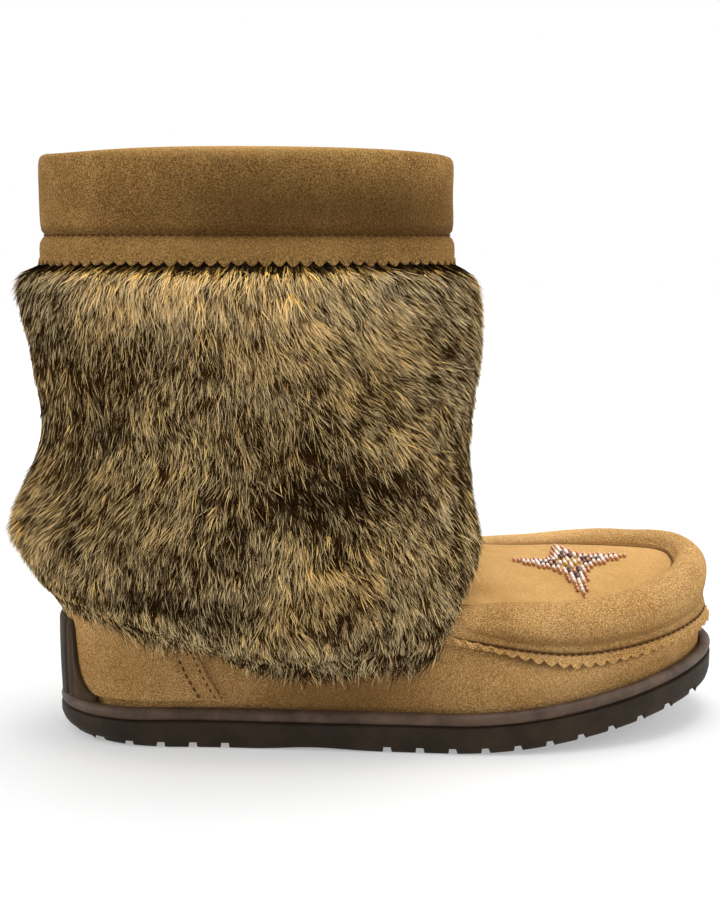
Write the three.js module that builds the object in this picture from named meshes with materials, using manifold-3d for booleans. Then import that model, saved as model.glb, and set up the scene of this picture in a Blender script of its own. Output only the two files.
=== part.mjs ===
// Mukluk boot for the right foot, standing empty on its sole.
// Millimetres. The toe points along +X, the inner side of the foot is +Y and the floor is z = 0.
// Every size is measured from the back of the heel, and the group shifts the boot
// so that the origin is on the floor under the middle of the heel.
import * as THREE from "three";
import Module from "manifold-3d";
import { mergeVertices } from "three/addons/utils/BufferGeometryUtils.js";

const wasm = await Module();
wasm.setup();

// Sole
const soleLength = 280;
const ballBreadth = 102;
const waistBreadth = 82;
const heelBreadth = 70;
const toeSwing = 9; // how far the toe turns towards the inner side
const toeSpring = 18; // how far the tip of the sole clears the floor
const springStart = 0.58; // share of the length where the sole starts to rise
const soleTread = 7.5; // floor to the top of the tread, inside the rim
const archRise = 1.1; // how far the waist of the tread clears the floor
const rimHeight = 16.2; // floor to the top of the rounded rim
const grooveHeight = 11.2; // floor to the groove under the rim
const grooveDepth = 1.6;
const rimWidth = 4.7; // edge of the sole to the inside of its rim
const heelRound = 7; // extra rounding under the back of the heel
const lugPitch = 13;
const lugGap = 3;
const lugDepth = 2.4;
const kickHeight = 52; // floor to the top of the rubber kick plate behind the heel

// Upper
const footHeight = 62; // floor to the top of the vamp over the ball
const bootHeight = 237;
const ankleHeight = 98; // floor to where the shaft becomes upright
const shaftLength = 161.5;
const shaftBreadth = 100;
const shaftBack = 0.8; // back of the heel to the back of the shaft
const wall = 2.2;
const outerRound = 12; // how gently the vamp turns down towards its outer side
const rollBulge = 7.2; // how far the padded roll stands off the upper
const flangeThickness = 1.5;
const plugThickness = 1.5;
const quarterThickness = 1.2;
const toothDepth = 3.2;

// Fur sleeve, collar, insole and beads
const furDepth = 14;
const hideThickness = 1.5;
const lockLift = 2.6; // how far a lock of fur stands off the one below it
const lockColumns = 18;
const collarHeight = 43; // top of the boot to the root of the collar's teeth
const collarHem = 10.5; // root of the teeth to the line of stitches
const collarRound = 7; // height over which the collar swells above its stitches
const collarDrop = bootHeight - collarHeight;
const collarStitch = collarDrop + collarHem;
const furTop = collarDrop + 2; // top of the hide, under the hem
const furNeck = collarDrop - toothDepth - 1.2; // top of the pile, under the tips of the teeth
const collarThickness = 1.9;
const collarPuff = 2.7;
const teethPerColumn = 2;
const insoleThickness = 4;
const starSpan = 51;
const starThickness = 1.5;
const starCentre = 217.3; // back of the heel to the middle of the star

const gap = 0.3; // clearance between pieces that touch
const lay = 0.7; // clearance under a panel that lies on a curved wall
const plugLay = 0.9; // the same under the plug, where the instep is hollow
const quarterLay = 0.5; // the same under the back quarter
const columns = 40; // points round the boot
const heelMiddle = 38; // back of the heel to the middle of its flat spot

const colours = {
  suede: 0xb5874d,
  plug: 0xc29a5f,
  collar: 0xa0763f,
  fur: 0x6f5a3a,
  rubber: 0x3a2c22,
  insole: 0xd8c7a4,
  bead: 0xe9d8cc,
};

// Rows of the foot part of the upper, from the edge inside the sole to the instep.
// back and front are shares of the sole's length, and heel, waist and ball are shares of its breadths there.
// zHeel to zToe are shares of the foot's height. roundBack and roundFront are the shares of the row's own
// length that its ends take to close. tilt is the slope of the row down towards the outer side, and fall is how
// much more of that slope is on the outer side than on the inner.
const footRows = [
  { row: "feather", back: 0.018, front: 0.982, heel: 0.857, waist: 0.868, ball: 0.888,
    zHeel: 0.126, zWaist: 0.126, zBall: 0.126, zToe: 0.126, roundBack: 0.14, roundFront: 0.32, tilt: 0 },
  { row: "rim", back: 0.017, front: 0.982, heel: 0.862, waist: 0.872, ball: 0.89,
    zHeel: 0.285, zWaist: 0.285, zBall: 0.285, zToe: 0.285, roundBack: 0.14, roundFront: 0.32, tilt: 0 },
  { row: "wall", back: 0.016, front: 0.984, heel: 0.871, waist: 0.944, ball: 0.904,
    zHeel: 0.45, zWaist: 0.51, zBall: 0.38, zToe: 0.36, roundBack: 0.14, roundFront: 0.32, tilt: 0.01 },
  { row: "flange", back: 0.016, front: 0.985, heel: 0.886, waist: 1.0, ball: 0.88,
    zHeel: 0.66, zWaist: 0.77, zBall: 0.51, zToe: 0.45, roundBack: 0.14, roundFront: 0.32, tilt: 0.04 },
  { row: "cheek", back: 0.017, front: 0.976, heel: 0.9, waist: 1.0, ball: 0.835,
    zHeel: 0.8, zWaist: 0.88, zBall: 0.69, zToe: 0.62, roundBack: 0.14, roundFront: 0.32, tilt: 0.08 },
  { row: "crest", back: 0.019, front: 0.966, heel: 0.914, waist: 1.0, ball: 0.765,
    zHeel: 0.92, zWaist: 0.98, zBall: 0.87, zToe: 0.785, roundBack: 0.14, roundFront: 0.33, tilt: 0.19, fall: 0.4 },
  { row: "plug edge", back: 0.022, front: 0.936, heel: 0.929, waist: 0.99, ball: 0.65,
    zHeel: 1.03, zWaist: 1.07, zBall: 0.91, zToe: 0.785, roundBack: 0.15, roundFront: 0.35, tilt: 0.26, fall: 0.65 },
  { row: "plug front", back: 0.026, front: 0.86, heel: 0.957, waist: 0.985, ball: 0.6,
    zHeel: 1.15, zWaist: 1.17, zBall: 0.945, zToe: 0.875, roundBack: 0.18, roundFront: 0.42, tilt: 0.27, fall: 0.7 },
  { row: "plug back", back: 0.029, front: 0.732, heel: 1.0, waist: 0.98, ball: 0.6,
    zHeel: 1.27, zWaist: 1.28, zBall: 1.04, zToe: 0.945, roundBack: 0.25, roundFront: 0.5, tilt: 0.2, fall: 0.6 },
  { row: "instep", back: 0.03, front: 0.625, heel: 1.06, waist: 0.975, ball: 0.72,
    zHeel: 1.4, zWaist: 1.4, zBall: 1.27, zToe: 1.14, roundBack: 0.38, roundFront: 0.5, tilt: 0.03 },
];

// Rows of the shaft. back and front are shares of the shaft's length from its back, breadth is a share of
// its breadth, and rise is the share of the way from the ankle to the top of the boot.
const shaftRows = [
  { row: "ankle", back: 0.046, front: 0.986, breadth: 0.84, rise: 0 },
  { row: "lower shaft", back: 0.029, front: 0.977, breadth: 0.86, rise: 0.2 },
  { row: "middle shaft", back: 0.01, front: 0.986, breadth: 0.92, rise: 0.45 },
  { row: "upper shaft", back: 0.001, front: 0.999, breadth: 0.98, rise: 0.69 },
  { row: "top", back: 0, front: 1, breadth: 1, rise: 0.979 },
];

// Rows of the fur. back, front and side are how far it stands off the shaft, in shares of the fur's depth.
// The heights are shares of the pile's top at the back, the heel's end of the side, the middle, the front
// corner and the front. square is how squarely the front closes.
const furRows = [
  { row: "hem", back: 0.22, front: 0.62, side: 0.3,
    zBack: 0.31, zHeel: 0.265, zSide: 0.205, zCorner: 0.223, zFront: 0.344, square: 4.6 },
  { row: "low", back: 0.72, front: 0.95, side: 0.72,
    zBack: 0.344, zHeel: 0.3, zSide: 0.255, zCorner: 0.275, zFront: 0.413, square: 4 },
  { row: "bulge", back: 1.33, front: 0.82, side: 0.9,
    zBack: 0.469, zHeel: 0.456, zSide: 0.438, zCorner: 0.463, zFront: 0.513, square: 3 },
  { row: "waist", back: 0.4, front: 0.74, side: 0.62,
    zBack: 0.644, zHeel: 0.638, zSide: 0.638, zCorner: 0.638, zFront: 0.638, square: 2.4 },
  { row: "chest", back: 0.58, front: 1.05, side: 0.95,
    zBack: 0.813, zHeel: 0.813, zSide: 0.813, zCorner: 0.813, zFront: 0.813, square: 2.2 },
  { row: "shoulder", back: 0.97, front: 0.95, side: 0.96,
    zBack: 0.965, zHeel: 0.965, zSide: 0.965, zCorner: 0.965, zFront: 0.965, square: 2.1 },
  { row: "neck", back: 0.5, front: 0.5, side: 0.5,
    zBack: 1, zHeel: 1, zSide: 1, zCorner: 1, zFront: 1, square: 2 },
];

const lerp = THREE.MathUtils.lerp;
const clamp = THREE.MathUtils.clamp;
const radians = THREE.MathUtils.degToRad;

// A curve through a few knots, each [place, value], that never overshoots them.
function curveThrough(knots, place) {
  const last = knots.length - 1;
  if (place <= knots[0][0]) return knots[0][1];
  if (place >= knots[last][0]) return knots[last][1];
  const slope = (i) => (knots[i + 1][1] - knots[i][1]) / (knots[i + 1][0] - knots[i][0]);
  const tangent = (i) => {
    if (i === 0 || i === last) return 0;
    const before = slope(i - 1);
    const after = slope(i);
    return before * after <= 0 ? 0 : (2 * before * after) / (before + after);
  };
  const i = knots.findIndex((knot, k) => k < last && place < knots[k + 1][0]);
  const width = knots[i + 1][0] - knots[i][0];
  const t = (place - knots[i][0]) / width;
  const t2 = t * t;
  const t3 = t2 * t;
  return (
    (2 * t3 - 3 * t2 + 1) * knots[i][1] +
    (t3 - 2 * t2 + t) * width * tangent(i) +
    (3 * t2 - 2 * t3) * knots[i + 1][1] +
    (t3 - t2) * width * tangent(i + 1)
  );
}

// How wide a ring is at a share of its length, as a share of its full breadth: its ends close as rounded arcs.
function endRound(share, roundBack, roundFront, square) {
  const into = share < roundBack ? 1 - share / roundBack : (share - 1 + roundFront) / roundFront;
  const power = share < roundBack ? 2 : square;
  return into <= 0 ? 1 : (1 - Math.min(into, 1) ** power) ** (1 / power);
}

// The centre line of the foot turns towards the inner side at the toe.
function centreLine(x) {
  const knots = [[0, 0], [0.2, -0.2], [0.45, -0.5], [0.7, -0.05], [0.84, 0.44], [0.9, 0.7], [1, 1]];
  return toeSwing * curveThrough(knots, x / soleLength);
}

// The rise of the sole under the toe.
function springAt(x) {
  const share = clamp((x / soleLength - springStart) / (1 - springStart), 0, 1);
  return toeSpring * share ** 1.6;
}

// The hollow under the waist, between the flat spots of the heel and the forefoot.
function archAt(x) {
  return archRise * curveThrough([[0.29, 0], [0.38, 1], [0.48, 0]], x / soleLength);
}

// A row of a table as a ring in millimetres.
const footRing = (row) => ({
  back: row.back * soleLength,
  front: row.front * soleLength,
  breadths: [
    [0.15, (row.heel * heelBreadth) / 2],
    [0.45, (row.waist * waistBreadth) / 2],
    [0.7, (row.ball * ballBreadth) / 2],
  ],
  heights: [
    [0, row.zHeel * footHeight],
    [0.5, row.zWaist * footHeight],
    [0.8, row.zBall * footHeight],
    [1, row.zToe * footHeight],
  ],
  roundBack: row.roundBack,
  roundFront: row.roundFront,
  square: 2.3,
  swing: 1,
  tilt: row.tilt,
  fall: row.fall,
});

const shaftRing = (row) => ({
  back: shaftBack + row.back * shaftLength,
  front: shaftBack + row.front * shaftLength,
  breadths: [[0.5, (row.breadth * shaftBreadth) / 2]],
  heights: [[0.5, lerp(ankleHeight, bootHeight, row.rise)]],
  roundBack: 0.5,
  roundFront: 0.5,
  square: 2,
  swing: 0,
  tilt: 0,
});

// A point of a ring. Angle 0 is the toe, a quarter turn is the inner side and a half turn is the heel.
function ringPoint(ring, angle) {
  const share = (1 + Math.cos(angle)) / 2;
  const side = Math.sin(angle) < 0 ? -1 : 1;
  const x = lerp(ring.back, ring.front, share);
  const half = curveThrough(ring.breadths, share) * endRound(share, ring.roundBack, ring.roundFront, ring.square);
  const y = ring.swing * centreLine(x) + side * half;
  const turned = y - (ring.fall ?? 0) * (Math.hypot(y, outerRound) - outerRound);
  const lean = ring.tilt * turned * clamp((x / soleLength) * 2 - 0.7, 0, 1);
  return new THREE.Vector3(x, y, curveThrough(ring.heights, share) + ring.swing * springAt(x) + lean);
}

const upperRings = [...footRows.map(footRing), ...shaftRows.map(shaftRing)];
const level = Object.fromEntries([...footRows, ...shaftRows].map((row, i) => [row.row, i]));

// The outside of the upper. level counts the rows, and a share between two rows is on a smooth curve.
function upperPoint(angle, height) {
  const top = upperRings.length - 1;
  const i = Math.min(Math.floor(height), top - 1);
  const at = (k) => ringPoint(upperRings[clamp(k, 0, top)], angle);
  const [before, from, to, after] = [at(i - 1), at(i), at(i + 1), at(i + 2)];
  const t = height - i;
  const ease = (a, b, c, d) =>
    b + 0.5 * t * (c - a + t * (2 * a - 5 * b + 4 * c - d + t * (3 * (b - c) + d - a)));
  return new THREE.Vector3(
    ease(before.x, from.x, to.x, after.x),
    ease(before.y, from.y, to.y, after.y),
    ease(before.z, from.z, to.z, after.z),
  );
}

// The upper's outside moved along its outward normal.
function upperOffset(angle, height, offset) {
  const step = 0.01;
  const top = upperRings.length - 1;
  const low = Math.max(height - step, 0);
  const high = Math.min(height + step, top);
  const around = upperPoint(angle + step, height).sub(upperPoint(angle - step, height));
  const upwards = upperPoint(angle, high).sub(upperPoint(angle, low));
  const normal = around.cross(upwards).normalize();
  return upperPoint(angle, height).addScaledVector(normal, offset);
}

// A closed body from a list of points and faces, turned so that its faces point outwards.
function bodyOf(points, faces) {
  const volume = faces.reduce((sum, [a, b, c]) => {
    const side = new THREE.Vector3().crossVectors(points[b], points[c]);
    return sum + points[a].dot(side);
  }, 0);
  const geometry = new THREE.BufferGeometry().setFromPoints(points);
  geometry.setIndex(faces.flatMap(([a, b, c]) => (volume < 0 ? [a, c, b] : [a, b, c])));
  return geometry;
}

// Numbers each row's points in one run, so that faces can be made from rows.
function numbered(rows) {
  let next = 0;
  return rows.map((row) => row.map(() => next++));
}

// The faces between two rows of point numbers. One row may have a whole number of times the other's steps.
function bandFaces(from, to, closed) {
  if (to.length < from.length) return bandFaces(to, from, closed).map(([a, b, c]) => [a, c, b]);
  const cells = closed ? from.length : from.length - 1;
  const steps = Math.round((closed ? to.length : to.length - 1) / cells);
  const middle = Math.ceil(steps / 2);
  const faces = [];
  for (let cell = 0; cell < cells; cell++) {
    const [a, b] = [from[cell], from[(cell + 1) % from.length]];
    const fine = (k) => to[(cell * steps + k) % to.length];
    for (let k = 0; k < steps; k++) faces.push([k < middle ? a : b, fine(k + 1), fine(k)]);
    faces.push([a, b, fine(middle)]);
  }
  return faces;
}

// A body with a hole through it: rings run up its outside and down its inside.
function tubeBody(rings) {
  const rows = numbered(rings);
  const faces = rows.flatMap((row, i) => bandFaces(row, rows[(i + 1) % rows.length], true));
  return bodyOf(rings.flat(), faces);
}

// A body closed at its first and last ring by strips that run from side to side.
function cappedBody(rings) {
  const rows = numbered(rings);
  const faces = rows.slice(1).flatMap((row, i) => bandFaces(rows[i], row, true));
  const cap = (row, flip) => {
    const count = row.length;
    for (let i = 0; i < count / 2; i++) {
      const corners = [i, i + 1, count - i - 1, (count - i) % count].map((k) => row[k]);
      const [a, b, c, d] = flip ? corners.reverse() : corners;
      if (new Set([a, b, c]).size === 3) faces.push([a, b, c]);
      if (new Set([a, c, d]).size === 3) faces.push([a, c, d]);
    }
  };
  cap(rows[0], true);
  cap(rows.at(-1), false);
  return bodyOf(rings.flat(), faces);
}

// A sheet with thickness over a patch of the boot: its outside and its inside as rows from bottom to top.
function patchBody(outer, inner) {
  const rows = numbered([...outer, ...inner]);
  const outside = rows.slice(0, outer.length);
  const inside = rows.slice(outer.length);
  const sheet = (side) => side.slice(1).flatMap((row, i) => bandFaces(side[i], row, false));
  const faces = [
    ...sheet(outside),
    ...sheet(inside).map(([a, b, c]) => [a, c, b]),
    ...bandFaces(inside[0], outside[0], false),
    ...bandFaces(outside.at(-1), inside.at(-1), false),
  ];
  for (let i = 0; i + 1 < outside.length; i++) {
    const edge = (column) => [outside[i], outside[i + 1], inside[i + 1], inside[i]].map((row) => row.at(column));
    const [a, b, c, d] = edge(0);
    const [e, f, g, h] = edge(-1);
    faces.push([a, b, c], [a, c, d], [e, g, f], [e, h, g]);
  }
  return bodyOf([...outer, ...inner].flat(), faces);
}

// Manifold's solid from a three.js geometry, and back.
function solidOf(geometry) {
  const bare = new THREE.BufferGeometry().setAttribute("position", geometry.getAttribute("position").clone());
  if (geometry.index) bare.setIndex(geometry.index.clone());
  const merged = mergeVertices(bare, 1e-4);
  return new wasm.Manifold(
    new wasm.Mesh({
      numProp: 3,
      vertProperties: new Float32Array(merged.attributes.position.array),
      triVerts: new Uint32Array(merged.index.array),
    }),
  );
}

function geometryOf(solid) {
  const mesh = solid.getMesh();
  const geometry = new THREE.BufferGeometry();
  geometry.setAttribute("position", new THREE.BufferAttribute(new Float32Array(mesh.vertProperties), 3));
  geometry.setIndex(new THREE.BufferAttribute(new Uint32Array(mesh.triVerts), 1));
  return geometry;
}

const anglesRound = (count) => Array.from({ length: count }, (_, i) => (i / count) * 2 * Math.PI);

// Levels from one row to another, with steps between each pair.
function levels(from, to, steps) {
  const count = Math.round((to - from) * steps);
  return Array.from({ length: count + 1 }, (_, i) => lerp(from, to, i / count));
}

const soleRing = {
  back: 0,
  front: soleLength,
  breadths: [
    [0.15, heelBreadth / 2],
    [0.45, waistBreadth / 2],
    [0.7, ballBreadth / 2],
  ],
  heights: [[0, 0]],
  roundBack: 0.14,
  roundFront: 0.32,
  square: 2.3,
  swing: 1,
  tilt: 0,
};

// A ring of the sole: its outline moved inwards, at a height over the tread's own rise.
function soleOutline(inset, height, heelInset = 0) {
  return anglesRound(columns).map((angle) => {
    const step = 0.01;
    const point = ringPoint(soleRing, angle);
    const along = ringPoint(soleRing, angle + step).sub(ringPoint(soleRing, angle - step));
    const inwards = new THREE.Vector3(-along.y, along.x, 0).normalize();
    const heelShare = clamp(1 - point.x / (2 * heelBreadth / 3), 0, 1);
    point.addScaledVector(inwards, inset + heelInset * heelShare);
    point.z = height + springAt(point.x) + archAt(point.x) * Math.max(1 - height / grooveHeight, 0);
    return point;
  });
}

// The tread, the side with its groove, and the rounded rim that the upper stands in.
function soleBody() {
  const rimRound = (rimHeight - grooveHeight) / 4;
  return cappedBody([
    soleOutline(1.6, 0, heelRound),
    soleOutline(0.5, 1.4, heelRound * 0.55),
    soleOutline(0, 4.6, heelRound * 0.15),
    soleOutline(0, grooveHeight - 0.8),
    soleOutline(grooveDepth, grooveHeight),
    soleOutline(0.5, grooveHeight + 0.8),
    soleOutline(0, rimHeight - 2 * rimRound),
    soleOutline(rimWidth * 0.22, rimHeight - 0.6 * rimRound),
    soleOutline(rimWidth * 0.6, rimHeight),
    soleOutline(rimWidth, rimHeight - 0.5 * rimRound),
    soleOutline(rimWidth, soleTread),
  ]);
}

// Grooves across the tread, in the heel and the forefoot, so that a whole lug is under the heel's middle.
function treadGrooves() {
  const starts = [];
  for (let x = heelMiddle - 1.5 * lugPitch; x < soleLength; x += lugPitch) starts.push(x);
  const treaded = starts.filter((x) => x < 0.27 * soleLength || x > 0.45 * soleLength);
  return treaded.map((x) => {
    const box = new THREE.BoxGeometry(lugGap, 2 * ballBreadth, 2 * lugDepth);
    const tip = Math.atan2(springAt(x + 1) - springAt(x - 1), 2);
    return solidOf(box.rotateY(-tip).translate(x, 0, springAt(x)));
  });
}

// Columns of half the kick plate, in degrees from the middle of the heel. share is how far up the plate the
// column reaches, and lift is how far it stands off the upper, with a groove inside the edge.
const kickColumns = [
  { angle: 26.5, share: 0.04, lift: 3.2 },
  { angle: 21.5, share: 0.2, lift: 3.5 },
  { angle: 18.6, share: 0.45, lift: 3.6 },
  { angle: 16.8, share: 0.88, lift: 3.3 },
  { angle: 15.6, share: 1, lift: 3.6 },
  { angle: 13.6, share: 1, lift: 3.8 },
  { angle: 12.6, share: 1, lift: 2.8 },
  { angle: 11.6, share: 1, lift: 3.9 },
  { angle: 6, share: 1.03, lift: 4.3 },
  { angle: 0, share: 1.04, lift: 4.4 },
];

// The kick plate climbs the back of the heel, and its sides flare into the rim.
function kickPlate() {
  const both = [...kickColumns.map((c) => ({ ...c, angle: -c.angle })), ...kickColumns.toReversed().slice(1)];
  const foot = level.rim - 0.5;
  const under = quarterLay + quarterThickness + 1.5 * gap;
  const kickTop = level.wall + (kickHeight / footHeight - 0.45) / 0.21;
  const grid = (lifted) =>
    [0, 0.16, 0.34, 0.52, 0.7, 0.88, 1].map((climb) =>
      both.map(({ angle, share, lift }) => {
        const top = lerp(level.rim + 0.02, kickTop, share);
        const round = climb === 1 ? 0.7 : 0;
        return upperOffset(Math.PI + radians(angle), lerp(foot, top, climb), lifted ? lift - round : under);
      }));
  return patchBody(grid(true), grid(false));
}

function outsoleGeometry() {
  const cut = wasm.Manifold.union(treadGrooves());
  return geometryOf(solidOf(soleBody()).add(solidOf(kickPlate())).subtract(cut));
}

// The footbed rests on the tread inside the upper.
function insoleGeometry() {
  const inset = rimWidth + wall + 6.5 * gap;
  const base = soleTread + gap;
  return cappedBody([
    soleOutline(inset, base),
    soleOutline(inset, base + insoleThickness - 1),
    soleOutline(inset + 1, base + insoleThickness),
  ]);
}

// Suede wall of the foot and shaft, open at the top and under the foot.
function upperGeometry() {
  const heights = [
    ...levels(level.feather, level.cheek, 1),
    ...levels(level.cheek, level.ankle, 2).slice(1),
    ...levels(level.ankle, level.top, 1).slice(1),
  ];
  const ring = (offset) => (height) => anglesRound(columns).map((a) => upperOffset(a, height, offset));
  return tubeBody([...heights.map(ring(0)), ...heights.map(ring(-wall)).reverse()]);
}

// The back quarter wraps the heel over the upper. Its front edges slope back as they climb.
function quarterGeometry() {
  const heights = levels(level.rim + 0.12, level.crest + 0.6, 2);
  const half = Math.round(0.2 * columns);
  const grid = (offset) =>
    heights.map((height) => {
      const reach = radians(lerp(60, 51, (height - level.rim) / (level.crest - level.rim)));
      return Array.from({ length: 2 * half + 1 }, (_, i) =>
        upperOffset(Math.PI + reach * (i / half - 1), height, offset));
    });
  return patchBody(grid(quarterLay + quarterThickness), grid(quarterLay));
}

// How far the roll stands off the upper at each level, from the flange to the crease beside the plug.
const rollProfile = [
  [level.flange, 0.3],
  [level.flange + 0.38, 0.18],
  [level.cheek - 0.2, 0.34],
  [level.cheek + 0.3, 0.66],
  [level.crest, 1],
  [level.crest + 0.42, 0.9],
  [level["plug edge"] - 0.24, 0.5],
  [level["plug edge"] - 0.12, 0.26],
];

// Padded roll round the vamp, with a toothed flange sewn to the wall below it.
function rollGeometry() {
  const reach = radians(97);
  const steps = 42;
  const under = lay;
  const flat = under + flangeThickness;
  const angleAt = (share) => lerp(-reach, reach, share);
  const fade = (angle) => 1 - 0.72 * clamp((Math.abs(angle) - radians(70)) / radians(12), 0, 1);
  const liftAt = (share, angle) => flat + Math.max(share * rollBulge * fade(angle) - flat, 0);
  const rows = (lift) =>
    rollProfile.map(([height, share]) =>
      Array.from({ length: steps + 1 }, (_, i) =>
        upperOffset(angleAt(i / steps), height, lift(share, angleAt(i / steps)))));
  const rowDepth = 1.3 * footHeight * (footRows[level.flange].zBall - footRows[level.wall].zBall);
  const teeth = (offset) =>
    Array.from({ length: 2 * teethPerColumn * steps + 1 }, (_, i) => {
      const drop = (i % 2 ? toothDepth + 1 : 1) / rowDepth;
      return upperOffset(angleAt(i / (2 * teethPerColumn * steps)), level.flange - drop, offset);
    });
  return patchBody([teeth(flat), ...rows(liftAt)], [teeth(under), ...rows(() => under)]);
}

// The flat top of the vamp inside the roll, which runs back under the fur. Its sides stop where it is hidden.
function plugRows(offset, share = 1) {
  const reaches = [[0, 76], [1, 69], [2, 58], [3, 42], [3.5, 34]];
  const half = 8;
  return levels(level["plug edge"], level.instep + 0.5, 2).map((height) => {
    const reach = share * radians(curveThrough(reaches, height - level["plug edge"]));
    return Array.from({ length: 2 * half + 1 }, (_, i) => upperOffset(reach * (i / half - 1), height, offset));
  });
}

function plugGeometry() {
  return patchBody(plugRows(plugLay + plugThickness), plugRows(plugLay));
}

// The beadwork as one raised star, cut from a layer that follows the vamp.
function starGeometry() {
  const outline = new THREE.Shape();
  const points = 4;
  const waistShare = 0.36;
  for (let i = 0; i < 2 * points; i++) {
    const radius = (starSpan / 2) * (i % 2 ? waistShare : 1);
    const turn = (i * Math.PI) / points + radians(4);
    outline[i ? "lineTo" : "moveTo"](radius * Math.cos(turn), radius * Math.sin(turn));
  }
  const column = new THREE.ExtrudeGeometry(outline, { depth: footHeight, bevelEnabled: false });
  column.translate(starCentre, centreLine(starCentre), footHeight / 2);
  const under = plugLay + plugThickness + gap;
  const layer = patchBody(plugRows(under + starThickness, 0.95), plugRows(under, 0.95));
  return geometryOf(solidOf(column).intersect(solidOf(layer)));
}

// A ring of the fur's outer form, before its locks.
function furRing(row) {
  const depth = furDepth;
  return {
    back: shaftBack - row.back * depth,
    front: shaftBack + shaftLength + row.front * depth,
    breadths: [[0.5, shaftBreadth / 2 + row.side * depth]],
    heights: [
      [0, row.zBack * furNeck],
      [0.28, row.zHeel * furNeck],
      [0.55, row.zSide * furNeck],
      [0.9, row.zCorner * furNeck],
      [1, row.zFront * furNeck],
    ],
    roundBack: 0.5,
    roundFront: 0.5,
    square: row.square,
    swing: 0,
    tilt: 0,
  };
}

// Locks lie like shingles: each one lifts towards its tip, and no two beside each other end together.
function lockOffset(column, step, stepsPerLock) {
  const lock = Math.floor(column / 3);
  const along = step + ((lock * 5) % 7) / 2;
  const down = 1 - (along % stepsPerLock) / stepsPerLock;
  return lockLift * (down * [0.35, 1, 0.7][column % 3] - 0.4);
}

// Fur sleeve: a deep pile round the shaft, hollowed by the boot inside it. Its hide runs up under the collar.
function furGeometry() {
  const rings = furRows.map(furRing);
  const around = anglesRound(3 * lockColumns);
  const stepsPerLock = 3;
  const steps = 18;
  const last = rings.length - 1;
  const pile = Array.from({ length: steps + 1 }, (_, step) => {
    const place = (step / steps) * last;
    const i = Math.min(Math.floor(place), last - 1);
    const edge = Math.min(step, steps - step, 2) / 2;
    return around.map((angle, column) => {
      const point = ringPoint(rings[i], angle).lerp(ringPoint(rings[i + 1], angle), place - i);
      const outwards = new THREE.Vector3(Math.cos(angle), Math.sin(angle), 0);
      return point.addScaledVector(outwards, edge * lockOffset(column, step, stepsPerLock));
    });
  });
  const hide = [furNeck + gap, furTop].map((height) =>
    around.map((angle) => shaftPoint(angle, height, gap + hideThickness)));
  const form = solidOf(cappedBody([...pile, ...hide]));
  return geometryOf(form.subtract(solidOf(furHollow())));
}

// A point round the shaft at a height, moved outwards.
function shaftPoint(angle, height, offset) {
  const last = shaftRows.length - 1;
  const rise = (height - ankleHeight) / (bootHeight - ankleHeight);
  const i = rise < shaftRows[last].rise ? Math.max(shaftRows.findIndex((row) => row.rise > rise), 1) : last;
  const share = (rise - shaftRows[i - 1].rise) / (shaftRows[i].rise - shaftRows[i - 1].rise);
  const point = upperOffset(angle, level.ankle + i - 1 + Math.min(share, 1), offset);
  point.z = height;
  return point;
}

// What the fur clears: the upper with the roll and the panels on it, and more of them towards the foot.
function furHollow() {
  const over = [[0, 0.4], [1, 3.8], [2, 5.9], [4, 6.4], [8, 7]];
  const heights = [...levels(level.feather, level.ankle, 1), ...levels(level.ankle, level.top, 1).slice(1)];
  const rings = heights.map((height) => {
    const clearance = curveThrough(over, level.ankle - height);
    return anglesRound(columns).map((angle) => {
      const share = Math.cos(angle) < Math.cos(radians(108)) ? 0.42 : 1;
      return upperOffset(angle, height, gap + share * clearance);
    });
  });
  return cappedBody(rings);
}

// Suede collar: a sleeve rolled over the top of the shaft, with a stitched, toothed hem over the fur.
function collarGeometry() {
  const topEdge = lerp(ankleHeight, bootHeight, shaftRows.at(-1).rise);
  const hem = hideThickness + 3 * gap;
  const section = [
    { height: collarDrop + 1, offset: hem + collarThickness },
    { height: collarStitch - 4, offset: hem + collarThickness },
    { height: collarStitch, offset: gap + collarThickness },
    { height: collarStitch + collarRound, offset: gap + collarPuff },
    { height: topEdge - collarRound, offset: gap + collarPuff },
    { height: bootHeight - 0.6, offset: gap + 0.6 * collarPuff },
    { height: bootHeight, offset: -0.4 * wall },
    { height: topEdge + gap, offset: -wall },
    { height: topEdge + gap, offset: gap },
    { height: collarStitch, offset: gap },
    { height: collarStitch - 4, offset: hem },
    { height: collarDrop + 1, offset: hem },
  ];
  const rings = section.map(({ height, offset }) =>
    anglesRound(columns).map((angle) => shaftPoint(angle, height, offset)));
  const teeth = (offset) =>
    anglesRound(2 * teethPerColumn * columns).map((angle, i) =>
      shaftPoint(angle, collarDrop - (i % 2) * toothDepth, offset));
  return tubeBody([teeth(hem + collarThickness), ...rings, teeth(hem)]);
}

const boot = new THREE.Group();
boot.position.x = -heelMiddle;

function addPiece(name, geometry, color, roughness) {
  const material = new THREE.MeshStandardMaterial({ color, roughness, metalness: 0 });
  const mesh = new THREE.Mesh(geometry, material);
  mesh.name = name;
  boot.add(mesh);
}

addPiece("outsole", outsoleGeometry(), colours.rubber, 0.6);
addPiece("insole", insoleGeometry(), colours.insole, 0.95);
addPiece("upper", upperGeometry(), colours.suede, 0.95);
addPiece("back_quarter", quarterGeometry(), colours.suede, 0.95);
addPiece("vamp_roll", rollGeometry(), colours.suede, 0.95);
addPiece("vamp_plug", plugGeometry(), colours.plug, 0.95);
addPiece("beaded_star", starGeometry(), colours.bead, 0.3);
addPiece("fur_sleeve", furGeometry(), colours.fur, 1);
addPiece("collar", collarGeometry(), colours.collar, 0.95);

const model = new THREE.Group();
model.add(boot);

export default model;
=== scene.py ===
import math

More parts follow.
